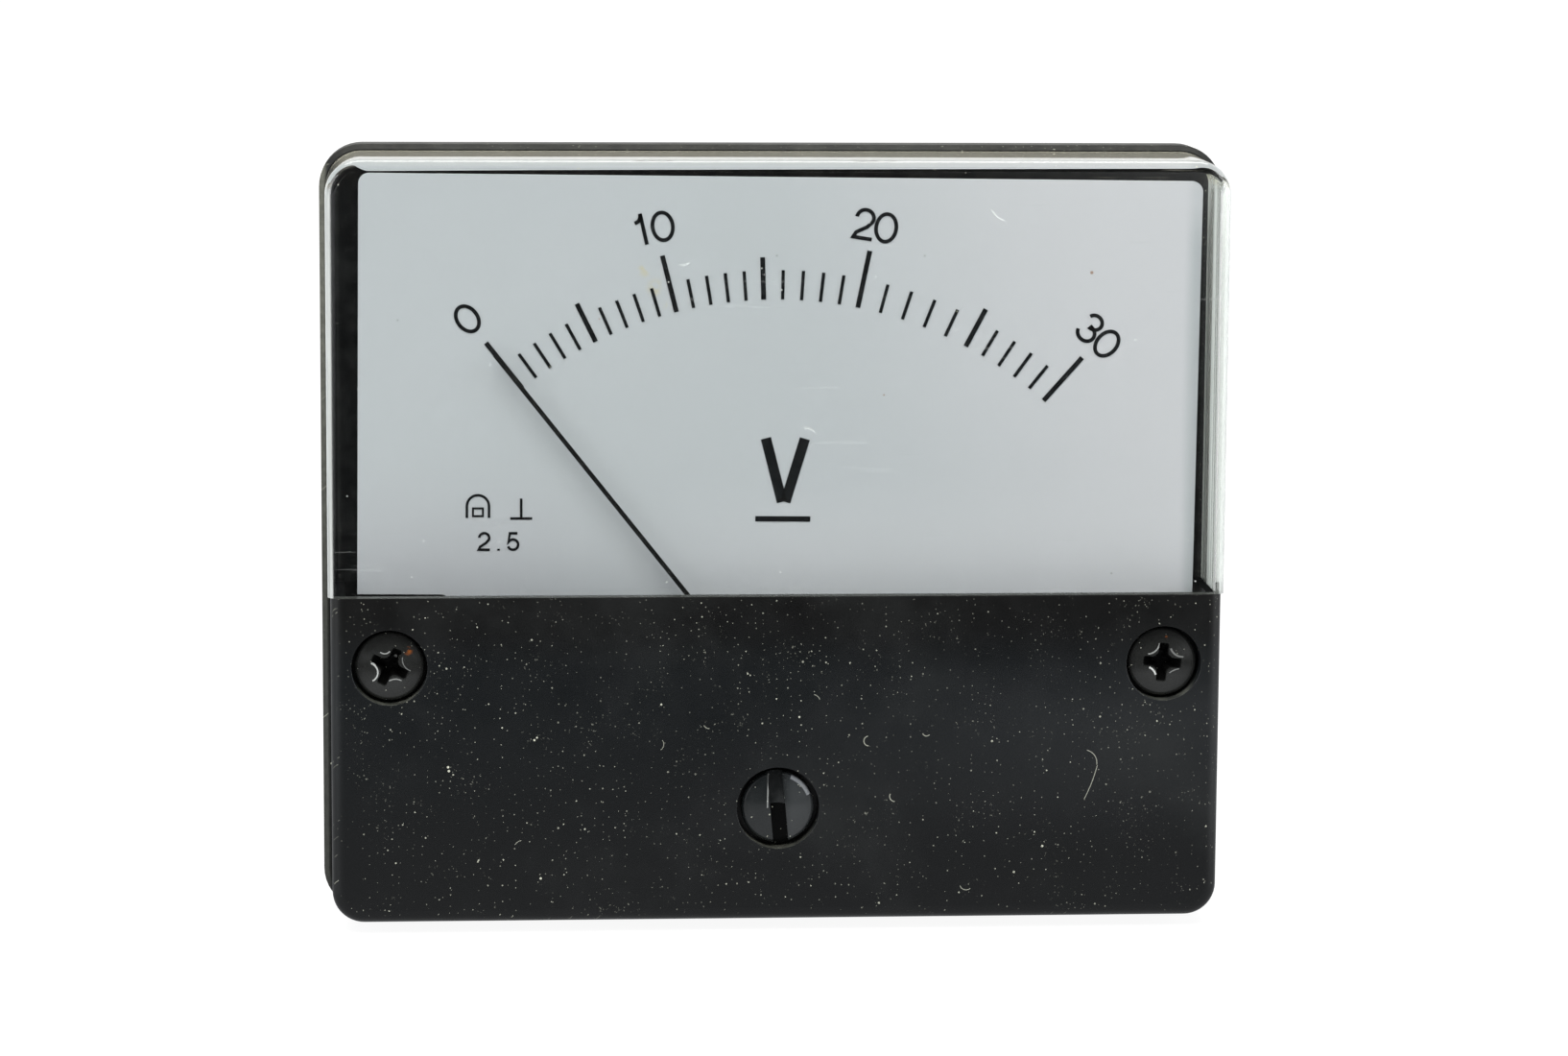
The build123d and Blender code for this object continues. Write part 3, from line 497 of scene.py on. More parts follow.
def dial_paint():
    t = material("dial_paint")
    x, y, z = t.axes()
    base = t.mix(t.noise(60, 2), srgb(176, 181, 187), srgb(180, 184, 191))
    # The light differs over the dial: paler on the right and low in the middle, darker low on the left
    right = t.step(t.math("MULTIPLY_ADD", z, 0.35, x), 4 * MM, 36 * MM)
    base = t.coat(base, right, (196, 196, 203), 0.75)
    middle = t.times(t.step(z, 6 * MM, -3 * MM), t.step(x, -22 * MM, 6 * MM))
    base = t.coat(base, middle, (205, 206, 213), 0.50)
    corner = t.times(t.step(z, 8 * MM, -3 * MM), t.step(x, -8 * MM, -24 * MM))
    base = t.coat(base, corner, (176, 176, 184), 0.5)
    # Painted shade: darker along the right edge, half as much at the top
    edge = t.step(x, DIAL_RIGHT - 1.5 * MM, DIAL_RIGHT - 0.3 * MM)
    base = t.coat(base, t.times(edge, t.step(z, 26 * MM, 22 * MM, 0.5, 1.0)), (142, 150, 155), 0.60)
    stain = t.times(t.spots(YELLOW_STAIN), t.step(t.noise(1500, 3), 0.42, 0.62))
    base = t.coat(base, stain, (192, 178, 118), 0.5)
    base = t.coat(base, t.spots(BROWN_SPOTS), (132, 92, 52), 0.75)
    grey = t.most(t.specks(620, 0.06, 0.10), t.specks(280, 0.035, 0.2, (0.01, 0.02, 0.03)))
    base = t.coat(base, grey, (120, 126, 122), 0.45)
    base = t.coat(base, t.specks(420, 0.05, 0.12, (0.3, 0.1, 0.2)), (226, 228, 224), 0.5)
    rough = t.step(t.noise(700, 3), 0.3, 0.7, 0.42, 0.52)
    paint = t.shader("ShaderNodeBsdfPrincipled", Base_Color=base, Roughness=rough, IOR=1.45,
                     Normal=t.bump(t.noise(5000, 3), 0.01 * MM, 0.3))
    return t.finish(paint)


# Painted highlights on the edges of the recesses: centre x and z, radius, start, sweep, width and tone
LEFT_GLINTS = (
    ((-31.33, -9.68), 0.74, 297, 135, 0.10, 0.70),
    ((-29.26, -11.1), 0.90, 59, 64, 0.08, 0.40),
    ((-30.06, -7.69), 0.54, 231, 86, 0.08, 0.45),
    ((-27.78, -8.69), 0.94, 170, 80, 0.06, 0.25),
    ((-29.24, -8.59), 0.05, 0, 359, 0.12, 0.45),
)
RIGHT_GLINTS = (
    ((28.49, -7.65), 0.97, 275, 77, 0.09, 0.40),
    ((31.27, -7.85), 1.01, 200, 73, 0.12, 0.22),
    ((28.33, -10.44), 0.86, 14, 53, 0.12, 0.95),
    ((31.14, -11.21), 1.43, 96, 33, 0.07, 0.30),
)
ZERO_GLINTS = (((27.0, -20.3), 27.80, 174.9, 5.2, 0.09, 0.34),)
# Painted highlight on the zero screw's rim: centre x and z, radius, start, sweep and width
ZERO_RIM_HIGHLIGHT = ((0, -20.35), 2.55, 22, 45, 0.26)
# Centre x and z, radius and soft share of the rust on each cover screw
LEFT_RUST = (-28.27, -8.05, 0.42, 0.9)
RIGHT_RUST = (29.97, -7.33, 0.16, 0.9)
RECESS_R = 1.9 * MM
ZERO_RECESS_Z = -22.0 * MM
COVER_SCREW_TONE = (26, 27, 26)
ZERO_SCREW_TONE = (19, 22, 23)


def head_centre(node):
    """Centre x and z of a round head."""
    low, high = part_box(node)
    return (low[0] + high[0]) / 2, (low[2] + high[2]) / 2


def screw_black(name, tone, recess, recess_y, glints, rust=None, painted_light_share=0.0, rim_highlight=None):
    """Black screw finish. Painted shade makes the recess near black inside and painted highlights draw bright
    lines on its edges; the zero screw also gets a painted paler right half and a painted highlight on its
    rim.
    """
    t = material(name)
    x, y, z = t.axes()
    base = t.mix(t.noise(900, 3), srgb(*tone), srgb(*[c + 6 for c in tone]))
    # Painted light: the right half of the head paler
    base = t.coat(base, t.step(x, 0.2 * MM, 1.2 * MM), (66, 69, 71), painted_light_share)
    base = t.coat(base, t.step(t.noise(2400, 4, 0.7), 0.60, 0.75), (70, 74, 74), 0.22)
    away = t.vmath("DISTANCE", t.vmath("MULTIPLY", t.place, (1, 0, 1)), (recess[0], 0, recess[1]))
    # Painted shade: the recess near black inside, with weaker reflection
    painted_recess_shade = t.times(t.math("LESS_THAN", away, RECESS_R), t.step(y, recess_y + 0.16 * MM, recess_y + 0.30 * MM))
    base = t.coat(base, painted_recess_shade, (5, 5, 5), 0.92)
    dust = t.most(t.flecks(1500, 0.08, 0.16), t.flecks(800, 0.05, 0.14, 0.4))
    base = t.mix(t.times(dust, 0.7), base, LINT)
    # Painted highlights: bright lines along the edges of the recess
    bright = t.most(*[t.times(t.fibre(*arc_row), strength) for *arc_row, strength in glints])
    base = t.coat(base, bright, (205, 208, 206))
    if rust:
        flakes = t.step(t.noise(2600, 3), 0.40, 0.55)
        base = t.coat(base, t.times(t.spot(*rust), flakes), (150, 82, 28), 0.9)
    # Painted highlight: a bright arc on the upper right of the rim
    if rim_highlight:
        base = t.coat(base, t.fibre(*rim_highlight), (180, 184, 190), 0.42)
    sheen = t.step(t.noise(1200, 3), 0.3, 0.7, 0.17, 0.27)
    rough = t.math("ADD", sheen, t.times(dust, 0.4), clamp=True)
    level = t.math("MULTIPLY_ADD", painted_recess_shade, -0.45, 0.5)
    finish = t.shader("ShaderNodeBsdfPrincipled", Base_Color=base, Roughness=rough, IOR=1.6,
                      Specular_IOR_Level=level, Normal=t.bump(t.noise(1500, 2), 0.006 * MM, 0.6))
    return t.finish(finish)


def thread_ridge(t, pitch, centre_x, centre_z):
    """0 in the root and 0.5 on the crest of a thread, round studs that stand in four corners."""
    x, y, z = t.axes()
    side = t.math("SUBTRACT", t.size_of(x), centre_x)
    up = t.math("SUBTRACT", t.size_of(z), centre_z)
    angle = t.math("DIVIDE", t.math("ARCTAN2", up, side), 2 * math.pi)
    # Four whole turns are added, so that the fraction is never taken of a negative number
    turn = t.math("FRACT", t.math("ADD", t.math("DIVIDE", y, pitch), t.math("ADD", angle, 4.0)))
    return t.size_of(t.math("SUBTRACT", turn, 0.5))


def plain(name, low, high, rough, metal=0.0, stretch=(1, 1, 1), bump=0.3, dust=0.25, bevel=0.1 * MM,
          wear=None, thread=None, wind=None, ior=1.48):
    """A finish with two tones, wear, dust and grain, and a thread or a winding where it has one."""
    t = material(name)
    base = t.mix(t.noise(300, 3), srgb(*low), srgb(*high))
    if wear:
        base = t.coat(base, t.step(t.noise(1300, 4, 0.7), 0.60, 0.74), wear, 0.6)
    specks = t.most(t.specks(1300, 0.12, 0.14), t.specks(2300, 0.14, 0.08, (0.02, 0, 0.01)))
    base = t.mix(t.times(specks, dust), base, LINT)
    grain = t.noise(2500, 3, stretch=stretch)
    height = grain
    if thread:
        *stud, start = thread
        ridge = thread_ridge(t, *stud)
        threaded = t.math("GREATER_THAN", t.axes()[1], start)
        height = t.math("ADD", t.times(ridge, 20.0, threaded), t.times(grain, 0.6))
        # Painted shade: the roots of the thread darker
        base = t.coat(base, t.times(t.step(ridge, 0.32, 0.05), threaded), [c * 0.45 for c in low], 0.65)
    if wind:
        wave = t.node("ShaderNodeTexWave", Vector=t.place, Scale=wind, Distortion=0.6,
                      p_bands_direction="DIAGONAL")
        height = t.math("ADD", t.times(wave.outputs[1], 6.0), grain)
    sheen = t.step(t.noise(900, 3), 0.3, 0.7, rough, rough + 0.14)
    finish = t.shader("ShaderNodeBsdfPrincipled", Base_Color=base, Roughness=sheen, Metallic=metal, IOR=ior,
                      Normal=t.bump(height, 0.02 * MM, bump, bevel))
    return t.finish(finish)


# Two tones and the roughness of each metal
STEEL = ((176, 178, 180), (196, 197, 198), 0.20)
RING_STEEL = ((148, 150, 152), (168, 170, 172), 0.32)
ARM_BRONZE = ((176, 138, 88), (190, 152, 100), 0.30)
SPRING_BRONZE = ((190, 146, 92), (206, 164, 108), 0.24)
BEARING_BRASS = ((198, 162, 92), (210, 178, 108), 0.24)
BRIDGE_ALUMINIUM = ((186, 188, 190), (202, 204, 206), 0.36)
TERMINAL_TONES = ((186, 182, 170), (204, 200, 188))
TERMINAL_WEAR = (158, 140, 96)
# Grain drawn along one axis
ROLLED = (0.2, 1, 4)
FOLDED = (0.2, 4, 1)
GROUND = (1, 0.2, 1)
# Pitch, centre x and z of the stud and the y where its thread starts
PANEL_THREAD = (0.5 * MM, 28 * MM, 23 * MM, 0.4 * MM)
TERMINAL_THREAD = (0.7 * MM, 10 * MM, 8 * MM, 28.4 * MM)

ink = plain("black_ink", (3, 5, 8), (8, 11, 14), 0.6, dust=0.3, bevel=0, wear=(24, 28, 32), ior=1.22)
made = {
    "base_housing": base_black(),
    "front_cover": cover_black(),
    "window_cover": window_clear(),
    "cover_screw_left": screw_black("screw_left_black", COVER_SCREW_TONE, head_centre("cover_screw_left"),
                                    SCREW_FRONT, LEFT_GLINTS, LEFT_RUST),
    "cover_screw_right": screw_black("screw_right_black", COVER_SCREW_TONE, head_centre("cover_screw_right"),
                                     SCREW_FRONT, RIGHT_GLINTS, RIGHT_RUST),
    "zero_screw": screw_black("zero_screw_black", ZERO_SCREW_TONE, (0, ZERO_RECESS_Z),
                              ZERO_FRONT + ZERO_DOME_H, ZERO_GLINTS, painted_light_share=0.42, rim_highlight=ZERO_RIM_HIGHLIGHT),
    "zero_retainer": plain("retainer_steel", (150, 150, 150), (170, 170, 168), 0.30, 1.0),
    "zero_arm": plain("arm_bronze", *ARM_BRONZE, 1.0, stretch=ROLLED),
    "dial_plate": dial_paint(),
    "scale_marks": ink,
    "dial_screws": plain("dial_screw_plate", (186, 184, 176), (202, 200, 192), 0.25, 1.0),
    "pointer": plain("pointer_black", (3, 4, 5), (8, 9, 10), 0.6, dust=0.2, bevel=0, wear=(26, 28, 30),
                     ior=1.22),
    "balance_weights": plain("weight_brass", (196, 160, 90), (208, 174, 104), 0.28, 1.0),
    "coil_former": plain("former_aluminium", (188, 190, 192), (204, 205, 206), 0.35, 1.0, stretch=FOLDED),
    "coil_winding": plain("winding_copper", (140, 62, 30), (168, 82, 42), 0.30, 0.4, wind=2200),
    "core_magnet": plain("magnet_alloy", (108, 108, 110), (126, 126, 127), 0.40, 1.0, stretch=GROUND),
    "core_spacers": plain("spacer_aluminium", (184, 186, 188), (200, 201, 203), 0.38, 1.0),
    "return_ring": plain("ring_steel", *RING_STEEL, 1.0, stretch=GROUND, wear=(120, 112, 98)),
    "spring_anchor": plain("anchor_bronze", *ARM_BRONZE, 1.0, stretch=ROLLED),
    "panel_studs": plain("panel_stud_plate", (182, 180, 172), (200, 198, 190), 0.24, 1.0, bump=0.9, dust=0.35,
                         wear=(150, 138, 104), thread=PANEL_THREAD),
    "terminal_studs": plain("terminal_stud_plate", *TERMINAL_TONES, 0.24, 1.0, bump=0.9, dust=0.35,
                            wear=TERMINAL_WEAR, thread=TERMINAL_THREAD),
    "terminal_nuts": plain("terminal_nut_plate", *TERMINAL_TONES, 0.26, 1.0, dust=0.35, wear=TERMINAL_WEAR),
    "series_resistor": plain("resistor_lacquer", (98, 122, 140), (112, 136, 152), 0.30),
    "resistor_leads": plain("lead_tin", (176, 176, 172), (192, 192, 188), 0.30, 1.0),
    "return_wire": plain("wire_sleeve_red", (132, 26, 20), (148, 34, 26), 0.42),
}
for end in ("front", "rear"):
    made[end + "_staff"] = plain("staff_steel_" + end, *STEEL, 1.0)
    made[end + "_hairspring"] = plain("spring_bronze_" + end, *SPRING_BRONZE, 1.0, bevel=0)
    made[end + "_bridge"] = plain("bridge_" + end + "_aluminium", *BRIDGE_ALUMINIUM, 1.0, stretch=ROLLED)
    made[end + "_jewel_screw"] = plain("bearing_brass_" + end, *BEARING_BRASS, 1.0)
for name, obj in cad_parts.items():
    obj.data.materials.clear()
    obj.data.materials.append(made[name])


def solid(name, build, crease=None):
    """An object from a mesh that build makes, smooth up to a crease angle where one is given."""
    bm = bmesh.new()
    build(bm)
    bmesh.ops.recalc_face_normals(bm, faces=bm.faces)
    for face in bm.faces:
        face.smooth = crease is not None
    mesh = bpy.data.meshes.new(name)
    bm.to_mesh(mesh)
    bm.free()
    if crease is not None:
        mesh.set_sharp_from_angle(angle=math.radians(crease))
    obj = bpy.data.objects.new(name, mesh)
    bpy.context.scene.collection.objects.link(obj)
    return obj


# Printed figures and signs, with places in mm on the dial
def ribbon(bm, points, width, closed=False):
    """A flat strip of even width along points in the dial plane, given a little thickness."""
    pts = [Vector(p) for p in points]
    count = len(pts)
    rows = []
    for i, p in enumerate(pts):
        before = pts[i - 1] if closed or i else p
        after = pts[(i + 1) % count] if closed or i < count - 1 else p
        d1 = (p - before).normalized() if (p - before).length else (after - p).normalized()
        d2 = (after - p).normalized() if (after - p).length else d1
        along = (d1 + d2).normalized()
        side = Vector((-along.y, along.x))
        reach = side * (width / 2 / max(STROKE_MITRE, side.dot(Vector((-d2.y, d2.x)))))
        sides = (p + reach, p - reach)
        corners = [(q.x * MM, y, q.y * MM) for q in sides for y in (DIAL_FACE, DIAL_FACE - INK_T)]
        rows.append([bm.verts.new(corner) for corner in corners])
    for i in range(count if closed else count - 1):
        a, b = rows[i], rows[(i + 1) % count]
        for k, m in ((0, 1), (1, 3), (3, 2), (2, 0)):
            bm.faces.new((a[k], a[m], b[m], b[k]))
    if not closed:
        for row, order in ((rows[0], (0, 2, 3, 1)), (rows[-1], (0, 1, 3, 2))):
            bm.faces.new([row[k] for k in order])


def arc(cx, cy, rx, ry, start, end, steps=18):
    """Points on an arc, with degrees anticlockwise from the right."""
    angles = [math.radians(start + (end - start) * i / steps) for i in range(steps + 1)]
    return [(cx + rx * math.cos(a), cy + ry * math.sin(a)) for a in angles]


# Strokes of each figure in shares of its height, round its middle, and whether a stroke closes
GLYPHS = {
    "0": [(arc(0, 0, 0.32, 0.44, 0, 350, 35), True)],
    "1": [([(-0.17, 0.235), (-0.06, 0.26), (0.02, 0.34), (0.06, 0.49)], False),
          ([(0.06, 0.5), (0.06, -0.5)], False)],
    "2": [(arc(0.0, 0.195, 0.27, 0.26, 178, -20, 22)
           + [(0.10, -0.08), (-0.22, -0.29), (-0.29, -0.45), (0.31, -0.45)], False)],
    "3": [(arc(0.0, 0.225, 0.25, 0.225, 165, -90, 20) + arc(0.0, -0.2, 0.29, 0.25, 88, -168, 22), False)],
    "5": [([(0.24, 0.45), (-0.17, 0.45), (-0.24, -0.02)]
           + arc(0.0, -0.17, 0.28, 0.28, 140, -160, 20), False)],
    "dot": [([(0, -0.5), (0, -0.40)], False)],
}


def figure(bm, key, place, height, turn, stroke):
    cos, sin = math.cos(math.radians(turn)), math.sin(math.radians(turn))
    for points, closed in GLYPHS[key]:
        turned = [(u * cos + v * sin, v * cos - u * sin) for u, v in points]
        ribbon(bm, [(place[0] + height * u, place[1] + height * v) for u, v in turned], stroke, closed)


def on_dial(px, py):
    """Where a picture point lies on the dial, as x and z in mm."""
    right_share, down_share = (px - WIDTH_PX / 2) / FOCUS_PX, (py - HEIGHT_PX / 2) / FOCUS_PX
    ray = -backward + camera_right * right_share - camera_up * down_share
    hit = eye + ray * ((DIAL_FACE - eye.y) / ray.y)
    return hit.x / MM, hit.z / MM


def numerals(bm):
    for key, px, py, turn in NUMERAL_PX:
        figure(bm, key, on_dial(px, py), NUMERAL_H, turn, NUMERAL_STROKE)


def unit_sign(bm):
    for top, foot in UNIT_STROKES_PX:
        ribbon(bm, [on_dial(*top), on_dial(*foot)], UNIT_STROKE)
    ribbon(bm, [on_dial(*px) for px in UNDERLINE_PX], UNDERLINE_STROKE)


def type_symbols(bm):
    """The moving-coil sign, the sign for upright use and the accuracy figure."""
    x, z = on_dial(*COIL_SIGN_PX)
    ribbon(bm, arc(x, z + 0.35, 0.85, 0.85, 180, 0, 16), SIGN_STROKE)
    for side in (-0.85, 0.85):
        ribbon(bm, [(x + side, z + 0.40), (x + side, z - 0.55)], SIGN_STROKE)
    coil = [(-0.38, -0.42), (0.38, -0.42), (0.38, 0.18), (-0.38, 0.18)]
    ribbon(bm, [(x + u, z + v) for u, v in coil], FINE_STROKE, True)
    x, z = on_dial(*UPRIGHT_SIGN_PX)
    ribbon(bm, [(x, z + 0.95), (x, z - 0.60)], SIGN_STROKE)
    ribbon(bm, [(x - 0.85, z - 0.60), (x + 0.85, z - 0.60)], SIGN_STROKE)
    for key, px in ACCURACY_PX:
        figure(bm, key, on_dial(*px), SMALL_H, SMALL_TURN_DEG, SMALL_STROKE)


for name, build in (("scale_numerals", numerals), ("unit_sign", unit_sign), ("type_symbols", type_symbols)):
    piece = solid(name, build)
    piece.data.materials.append(ink)
    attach(piece, "housing")


# The clear window: one moulding with drafted walls, a rounded front edge and a rounded cavity
def wall_ring(bm, inset, y, corner_r, lift):
    """One ring up the left wall, round both upper corners and down the right wall."""
    half_w, top = WINDOW_HIGH[0] - inset, WINDOW_HIGH[2] - inset + lift
    points = [(-half_w, WINDOW_FOOT)]
    for centre, start in ((corner_r - half_w, 180), (half_w - corner_r, 90)):
        points += arc(centre, top - corner_r, corner_r, corner_r, start, start - 90, CORNER_STEPS)
    points.append((half_w, WINDOW_FOOT))
    return [bm.verts.new((x, y, z)) for x, z in points]


def skin(bm, inset, corner_r, edge_r, front_y, lift=0.0):
    """Rings from the rear edge over the rounded front edge to the flat pane."""
    at_edge = inset + DRAFT * (WINDOW_REAR - front_y - edge_r)
    path = [(inset, WINDOW_REAR), (at_edge - DRAFT * CREASE_HAIR, front_y + edge_r + CREASE_HAIR)]
    path += arc(at_edge + edge_r, front_y + edge_r, -edge_r, -edge_r, 0, 90, EDGE_STEPS)
    path.append((at_edge + edge_r + CREASE_HAIR, front_y))
    rings = [wall_ring(bm, step, y, max(corner_r - (step - inset), LEAST_CORNER_R), lift) for step, y in path]
    for a, b in zip(rings, rings[1:]):
        for k in range(len(a) - 1):
            bm.faces.new((a[k], a[k + 1], b[k + 1], b[k]))
    bm.faces.new(rings[-1])
    return rings


def tongue(bm):
    """The flat tongue of the pane that hooks behind the black cover."""
    low = (-TONGUE_HALF_W, PANE_BACK - TONGUE_T, WINDOW_LOW[2])
    high = (TONGUE_HALF_W, PANE_BACK, WINDOW_FOOT - SEAM_GAP)
    places = [(x, y, z) for x in (low[0], high[0]) for y in (low[1], high[1]) for z in (low[2], high[2])]
    corners = [bm.verts.new(place) for place in places]
    for face in ((0, 1, 3, 2), (4, 6, 7, 5), (0, 4, 5, 1), (2, 3, 7, 6), (0, 2, 6, 4), (1, 5, 7, 3)):
        bm.faces.new([corners[i] for i in face])


def clear_moulding(bm):
    outer = skin(bm, 0, CORNER_R, EDGE_R, WINDOW_LOW[1])
    inner = skin(bm, WALL_T, CAVITY_CORNER_R, CAVITY_EDGE_R, PANE_BACK, WALL_T - TOP_WALL_T)
    for k in range(len(outer[0]) - 1):
        bm.faces.new((outer[0][k], inner[0][k], inner[0][k + 1], outer[0][k + 1]))
    foot = [ring[0] for ring in outer] + [ring[-1] for ring in reversed(outer)]
    foot += [ring[-1] for ring in inner] + [ring[0] for ring in reversed(inner)]
    bm.faces.new(foot)
    tongue(bm)


window = solid("window_moulding", clear_moulding, WINDOW_CREASE_DEG)
window.data.materials.append(made["window_cover"])
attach(window, "housing")
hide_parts("window_cover")


# Screws with a domed head and a real recess
def lathe(bm, centre, profile, steps):
    """A solid turned about an axis along Y. The profile runs from the axis to the axis."""
    turn = [2 * math.pi * i / steps for i in range(steps)]
    rings = []
    for r, y in profile[1:-1]:
        places = [(centre[0] + r * math.cos(a), y, centre[1] + r * math.sin(a)) for a in turn]
        rings.append([bm.verts.new(place) for place in places])
    for a, b in zip(rings, rings[1:]):
        for k in range(steps):
            m = (k + 1) % steps
            bm.faces.new((a[k], a[m], b[m], b[k]))
    for ring, (r, y) in ((rings[0], profile[0]), (rings[-1], profile[-1])):
        tip = bm.verts.new((centre[0], y, centre[1]))
        for k in range(steps):
            bm.faces.new((ring[k], ring[(k + 1) % steps], tip))


def head_profile(head_r, front_y, depth, shank_r, end_y, dome_h, rim_r):
    """A flat dome, a rounded rim, the seat and the shank, as radius and y."""
    flat_r = head_r - rim_r
    shares = [i / DOME_STEPS for i in range(DOME_STEPS + 1)]
    profile = [(flat_r * share, front_y + dome_h * share ** 2) for share in shares]
    for i in range(1, RIM_STEPS + 1):
        a = math.radians(90 * i / RIM_STEPS)
        profile.append((flat_r + rim_r * math.sin(a), front_y + dome_h + rim_r * (1 - math.cos(a))))
    seat_y = front_y + depth
    return profile + [(head_r, seat_y), (shank_r, seat_y), (shank_r, end_y), (0, end_y)]


def prism(bm, centre, outline, turn, front_y, floor_y, floor_share=1.0):
    """A cutter with the outline at the front and a share of it at the floor."""
    cos, sin = math.cos(math.radians(turn)), math.sin(math.radians(turn))
    turned = [(u * cos - v * sin, u * sin + v * cos) for u, v in outline]
    ends = []
    for share, y in ((1.0, front_y), (floor_share, floor_y)):
        ends.append([bm.verts.new((centre[0] + share * u, y, centre[1] + share * v)) for u, v in turned])
    count = len(outline)
    for k in range(count):
        m = (k + 1) % count
        bm.faces.new((ends[0][k], ends[0][m], ends[1][m], ends[1][k]))
    bm.faces.new(ends[0])
    bm.faces.new(ends[1])


def cross_outline():
    """A cross with rounded lobes between its arms."""
    half, arm_end = CROSS_ARM_W / 2, CROSS_ARM_L - CROSS_END_R
    quarter = [(arm_end, -half), (CROSS_ARM_L, CROSS_END_R - half)]
    quarter += [(CROSS_ARM_L, half - CROSS_END_R), (arm_end, half)]
    lobe = half + CROSS_LOBE_R
    quarter += arc(lobe, lobe, CROSS_LOBE_R, CROSS_LOBE_R, 270, 180, LOBE_STEPS)
    outline = []
    for cos, sin in ((1, 0), (0, 1), (-1, 0), (0, -1)):
        outline += [(u * cos - v * sin, u * sin + v * cos) for u, v in quarter]
    return outline


def cut_screw(name, node, body, body_build, cutter_build, pin_build=None):
    """A turned body with its recess cut out, soft edges and the node's material."""
    obj = solid(name, body_build)
    cutter = solid("cutter", cutter_build)
    cut = obj.modifiers.new("recess", "BOOLEAN")
    cut.operation = "DIFFERENCE"
    cut.solver = "EXACT"
    cut.object = cutter
    soft = obj.modifiers.new("edge", "BEVEL")
    soft.width = SOFT_EDGE_W
    soft.segments = SOFT_EDGE_STEPS
    soft.limit_method = "ANGLE"
    soft.angle_limit = math.radians(SOFT_EDGE_DEG)
    bpy.context.view_layer.update()
    mesh = bpy.data.meshes.new_from_object(obj.evaluated_get(bpy.context.evaluated_depsgraph_get()))
    obj.modifiers.clear()
    obj.data = mesh
    bpy.data.objects.remove(cutter)
    if pin_build:
        bm = bmesh.new()
        bm.from_mesh(mesh)
        pin_build(bm)
        bmesh.ops.recalc_face_normals(bm, faces=bm.faces)
        bm.to_mesh(mesh)
        bm.free()
    for face in mesh.polygons:
        face.use_smooth = True
    mesh.set_sharp_from_angle(angle=math.radians(SCREW_CREASE_DEG))
    mesh.materials.clear()
    mesh.materials.append(made[node])
    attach(obj, body)
    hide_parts(node)


def cover_screw(name, node, turn):
    centre = head_centre(node)
    low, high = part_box(node)
    profile = head_profile(HEAD_R, low[1], HEAD_DEPTH, SHANK_R, high[1], DOME_H, RIM_R)
    outline = cross_outline()
    cut_screw(name, node, "housing",
              lambda bm: lathe(bm, centre, profile, HEAD_STEPS),
              lambda bm: prism(bm, centre, outline, turn, low[1] - CUT_OVERRUN, low[1] + CROSS_DEPTH,
                               CROSS_FLOOR_SHARE))


def zero_screw():
    low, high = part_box("zero_screw")
    centre = (0.0, low[2] + ZERO_HEAD_R)
    pin_centre = (centre[0], centre[1] + PIN_OFFSET)
    profile = head_profile(ZERO_HEAD_R, low[1], ZERO_HEAD_DEPTH, ZERO_SHANK_R, RETAINER_REAR,
                           ZERO_DOME_H, ZERO_RIM_R)
    outline = [(-SLOT_HALF_W, -SLOT_HALF_L), (SLOT_HALF_W, -SLOT_HALF_L),
               (SLOT_HALF_W, SLOT_HALF_L), (-SLOT_HALF_W, SLOT_HALF_L)]
    pin = [(0, RETAINER_REAR), (PIN_R, RETAINER_REAR), (PIN_R, high[1]), (0, high[1])]
    cut_screw("domed_zero_screw", "zero_screw", "zero_adjuster",
              lambda bm: lathe(bm, centre, profile, HEAD_STEPS),
              lambda bm: prism(bm, centre, outline, SLOT_TURN_DEG, low[1] - CUT_OVERRUN, low[1] + SLOT_DEPTH),
              lambda bm: lathe(bm, pin_centre, pin, PIN_STEPS))


cover_screw("domed_screw_left", "cover_screw_left", LEFT_TURN_DEG)
cover_screw("domed_screw_right", "cover_screw_right", RIGHT_TURN_DEG)
zero_screw()

# Camera
camera_data = bpy.data.cameras.new("photo_camera")
camera = bpy.data.objects.new("photo_camera", camera_data)
bpy.context.scene.collection.objects.link(camera)
camera_data.sensor_width = SENSOR_W
camera_data.sensor_fit = "HORIZONTAL"
camera_data.lens = FOCUS_PX * SENSOR_W / WIDTH_PX
camera_data.clip_start = NEAR_CLIP
camera_data.clip_end = FAR_CLIP
turned = Matrix((camera_right, camera_up, backward)).transposed().to_4x4()
camera.matrix_world = Matrix.Translation(eye) @ turned
bpy.context.scene.camera = camera

# Floor and lights
FLOOR_HALF_W = 14
FLOOR_Z = -30.1 * MM
# Name, place in metres, width and height, power and tint. Each light looks at the origin
LIGHTS = (
    ("key_above", (-0.15, -0.55, 0.95), (0.9, 0.7), 15.6, (1.0, 0.985, 0.96)),
    ("fill_left", (-1.0, -0.45, 0.25), (0.5, 0.9), 4.8, (0.94, 0.97, 1.0)),
    ("fill_right", (1.0, -0.40, 0.30), (0.5, 0.9), 5.4, (0.96, 0.98, 1.0)),
    ("top_back", (0.0, 0.35, 0.9), (1.0, 0.4), 6.0, (1.0, 0.98, 0.94)),
)


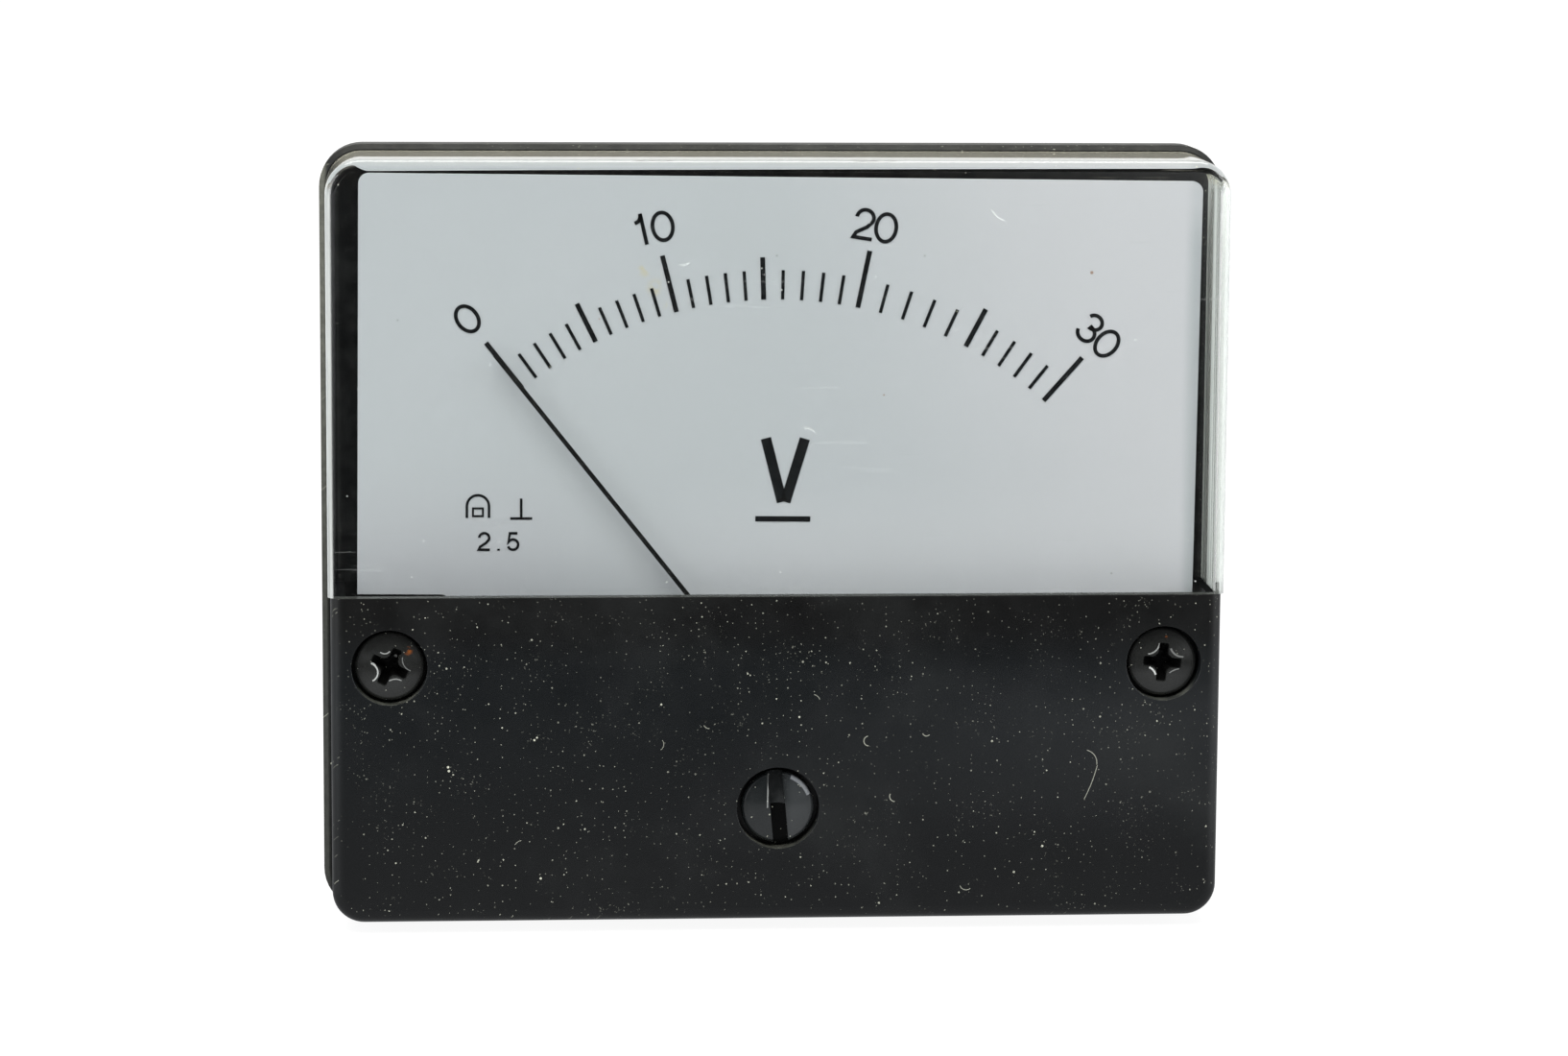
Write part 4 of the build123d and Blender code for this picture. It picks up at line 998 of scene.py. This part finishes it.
def floor_white():
    """White paper with the object's shadow. Reflections see it dim near the object."""
    t = material("floor_white")
    x, y, z = t.axes()
    away = t.vmath("LENGTH", t.vmath("MULTIPLY", t.place, (1, 1, 0)))
    paper = t.shader("ShaderNodeBsdfDiffuse", Color=(0.86, 0.86, 0.86, 1))
    bright = t.shader("ShaderNodeEmission", Color=(1, 1, 1, 1), Strength=1.1)
    seen = t.blend(t.step(away, 0.04, 0.26, 0.84, 1.0), paper, bright)
    glow = t.most(t.step(t.size_of(x), 0.07, 0.30, 0.035, 0.85), t.times(t.step(y, -0.084, -0.074), 0.55))
    mirrored = t.shader("ShaderNodeEmission", Color=(0.96, 0.98, 1.0, 1), Strength=glow)
    bounced = t.shader("ShaderNodeBsdfDiffuse", Color=(0.45, 0.45, 0.45, 1))
    ray = t.node("ShaderNodeLightPath").outputs
    seen = t.blend(ray["Is Glossy Ray"], seen, mirrored)
    return t.finish(t.blend(ray["Is Diffuse Ray"], seen, bounced))


floor_mesh = bpy.data.meshes.new("floor")
corner_signs = ((-1, -1), (1, -1), (1, 1), (-1, 1))
floor_corners = [(x * FLOOR_HALF_W, y * FLOOR_HALF_W, FLOOR_Z) for x, y in corner_signs]
floor_mesh.from_pydata(floor_corners, [], [(0, 1, 2, 3)])
floor = bpy.data.objects.new("floor", floor_mesh)
bpy.context.scene.collection.objects.link(floor)
floor_mesh.materials.append(floor_white())


def area_light(name, place, size, power, tint):
    data = bpy.data.lights.new(name, "AREA")
    data.shape = "RECTANGLE"
    data.size, data.size_y = size
    data.energy = power
    data.color = tint
    obj = bpy.data.objects.new(name, data)
    obj.location = place
    obj.rotation_euler = (-Vector(place)).to_track_quat("-Z", "Y").to_euler()
    bpy.context.scene.collection.objects.link(obj)
    return obj


lights = [area_light(*row) for row in LIGHTS]
# The key light gives no glare on the window's edge
lights[0].visible_glossy = False

# World: soft light all round, which reflections see bright at the sides, behind and above
world = bpy.data.worlds.new("studio")
bpy.context.scene.world = world
w = Tree(world, "World")
to_x, to_y, to_z = w.axes(w.coords["Generated"])
sides = w.step(w.size_of(to_x), 0.30, 0.75)
glow = w.most(sides, w.step(to_y, 0.05, 0.35), w.times(w.step(to_z, 0.45, 0.80), 0.75))
mirrored_sky = w.shader("ShaderNodeBackground", Color=(0.97, 0.985, 1.0, 1),
                        Strength=w.math("MULTIPLY_ADD", glow, 0.95, 0.03))
soft_sky = w.shader("ShaderNodeBackground", Color=(0.96, 0.98, 1.0, 1), Strength=0.48)
sky_ray = w.node("ShaderNodeLightPath").outputs
w.finish(w.blend(w.most(sky_ray["Is Glossy Ray"], sky_ray["Is Transmission Ray"]), soft_sky, mirrored_sky))

bpy.context.scene.view_settings.view_transform = "Standard"
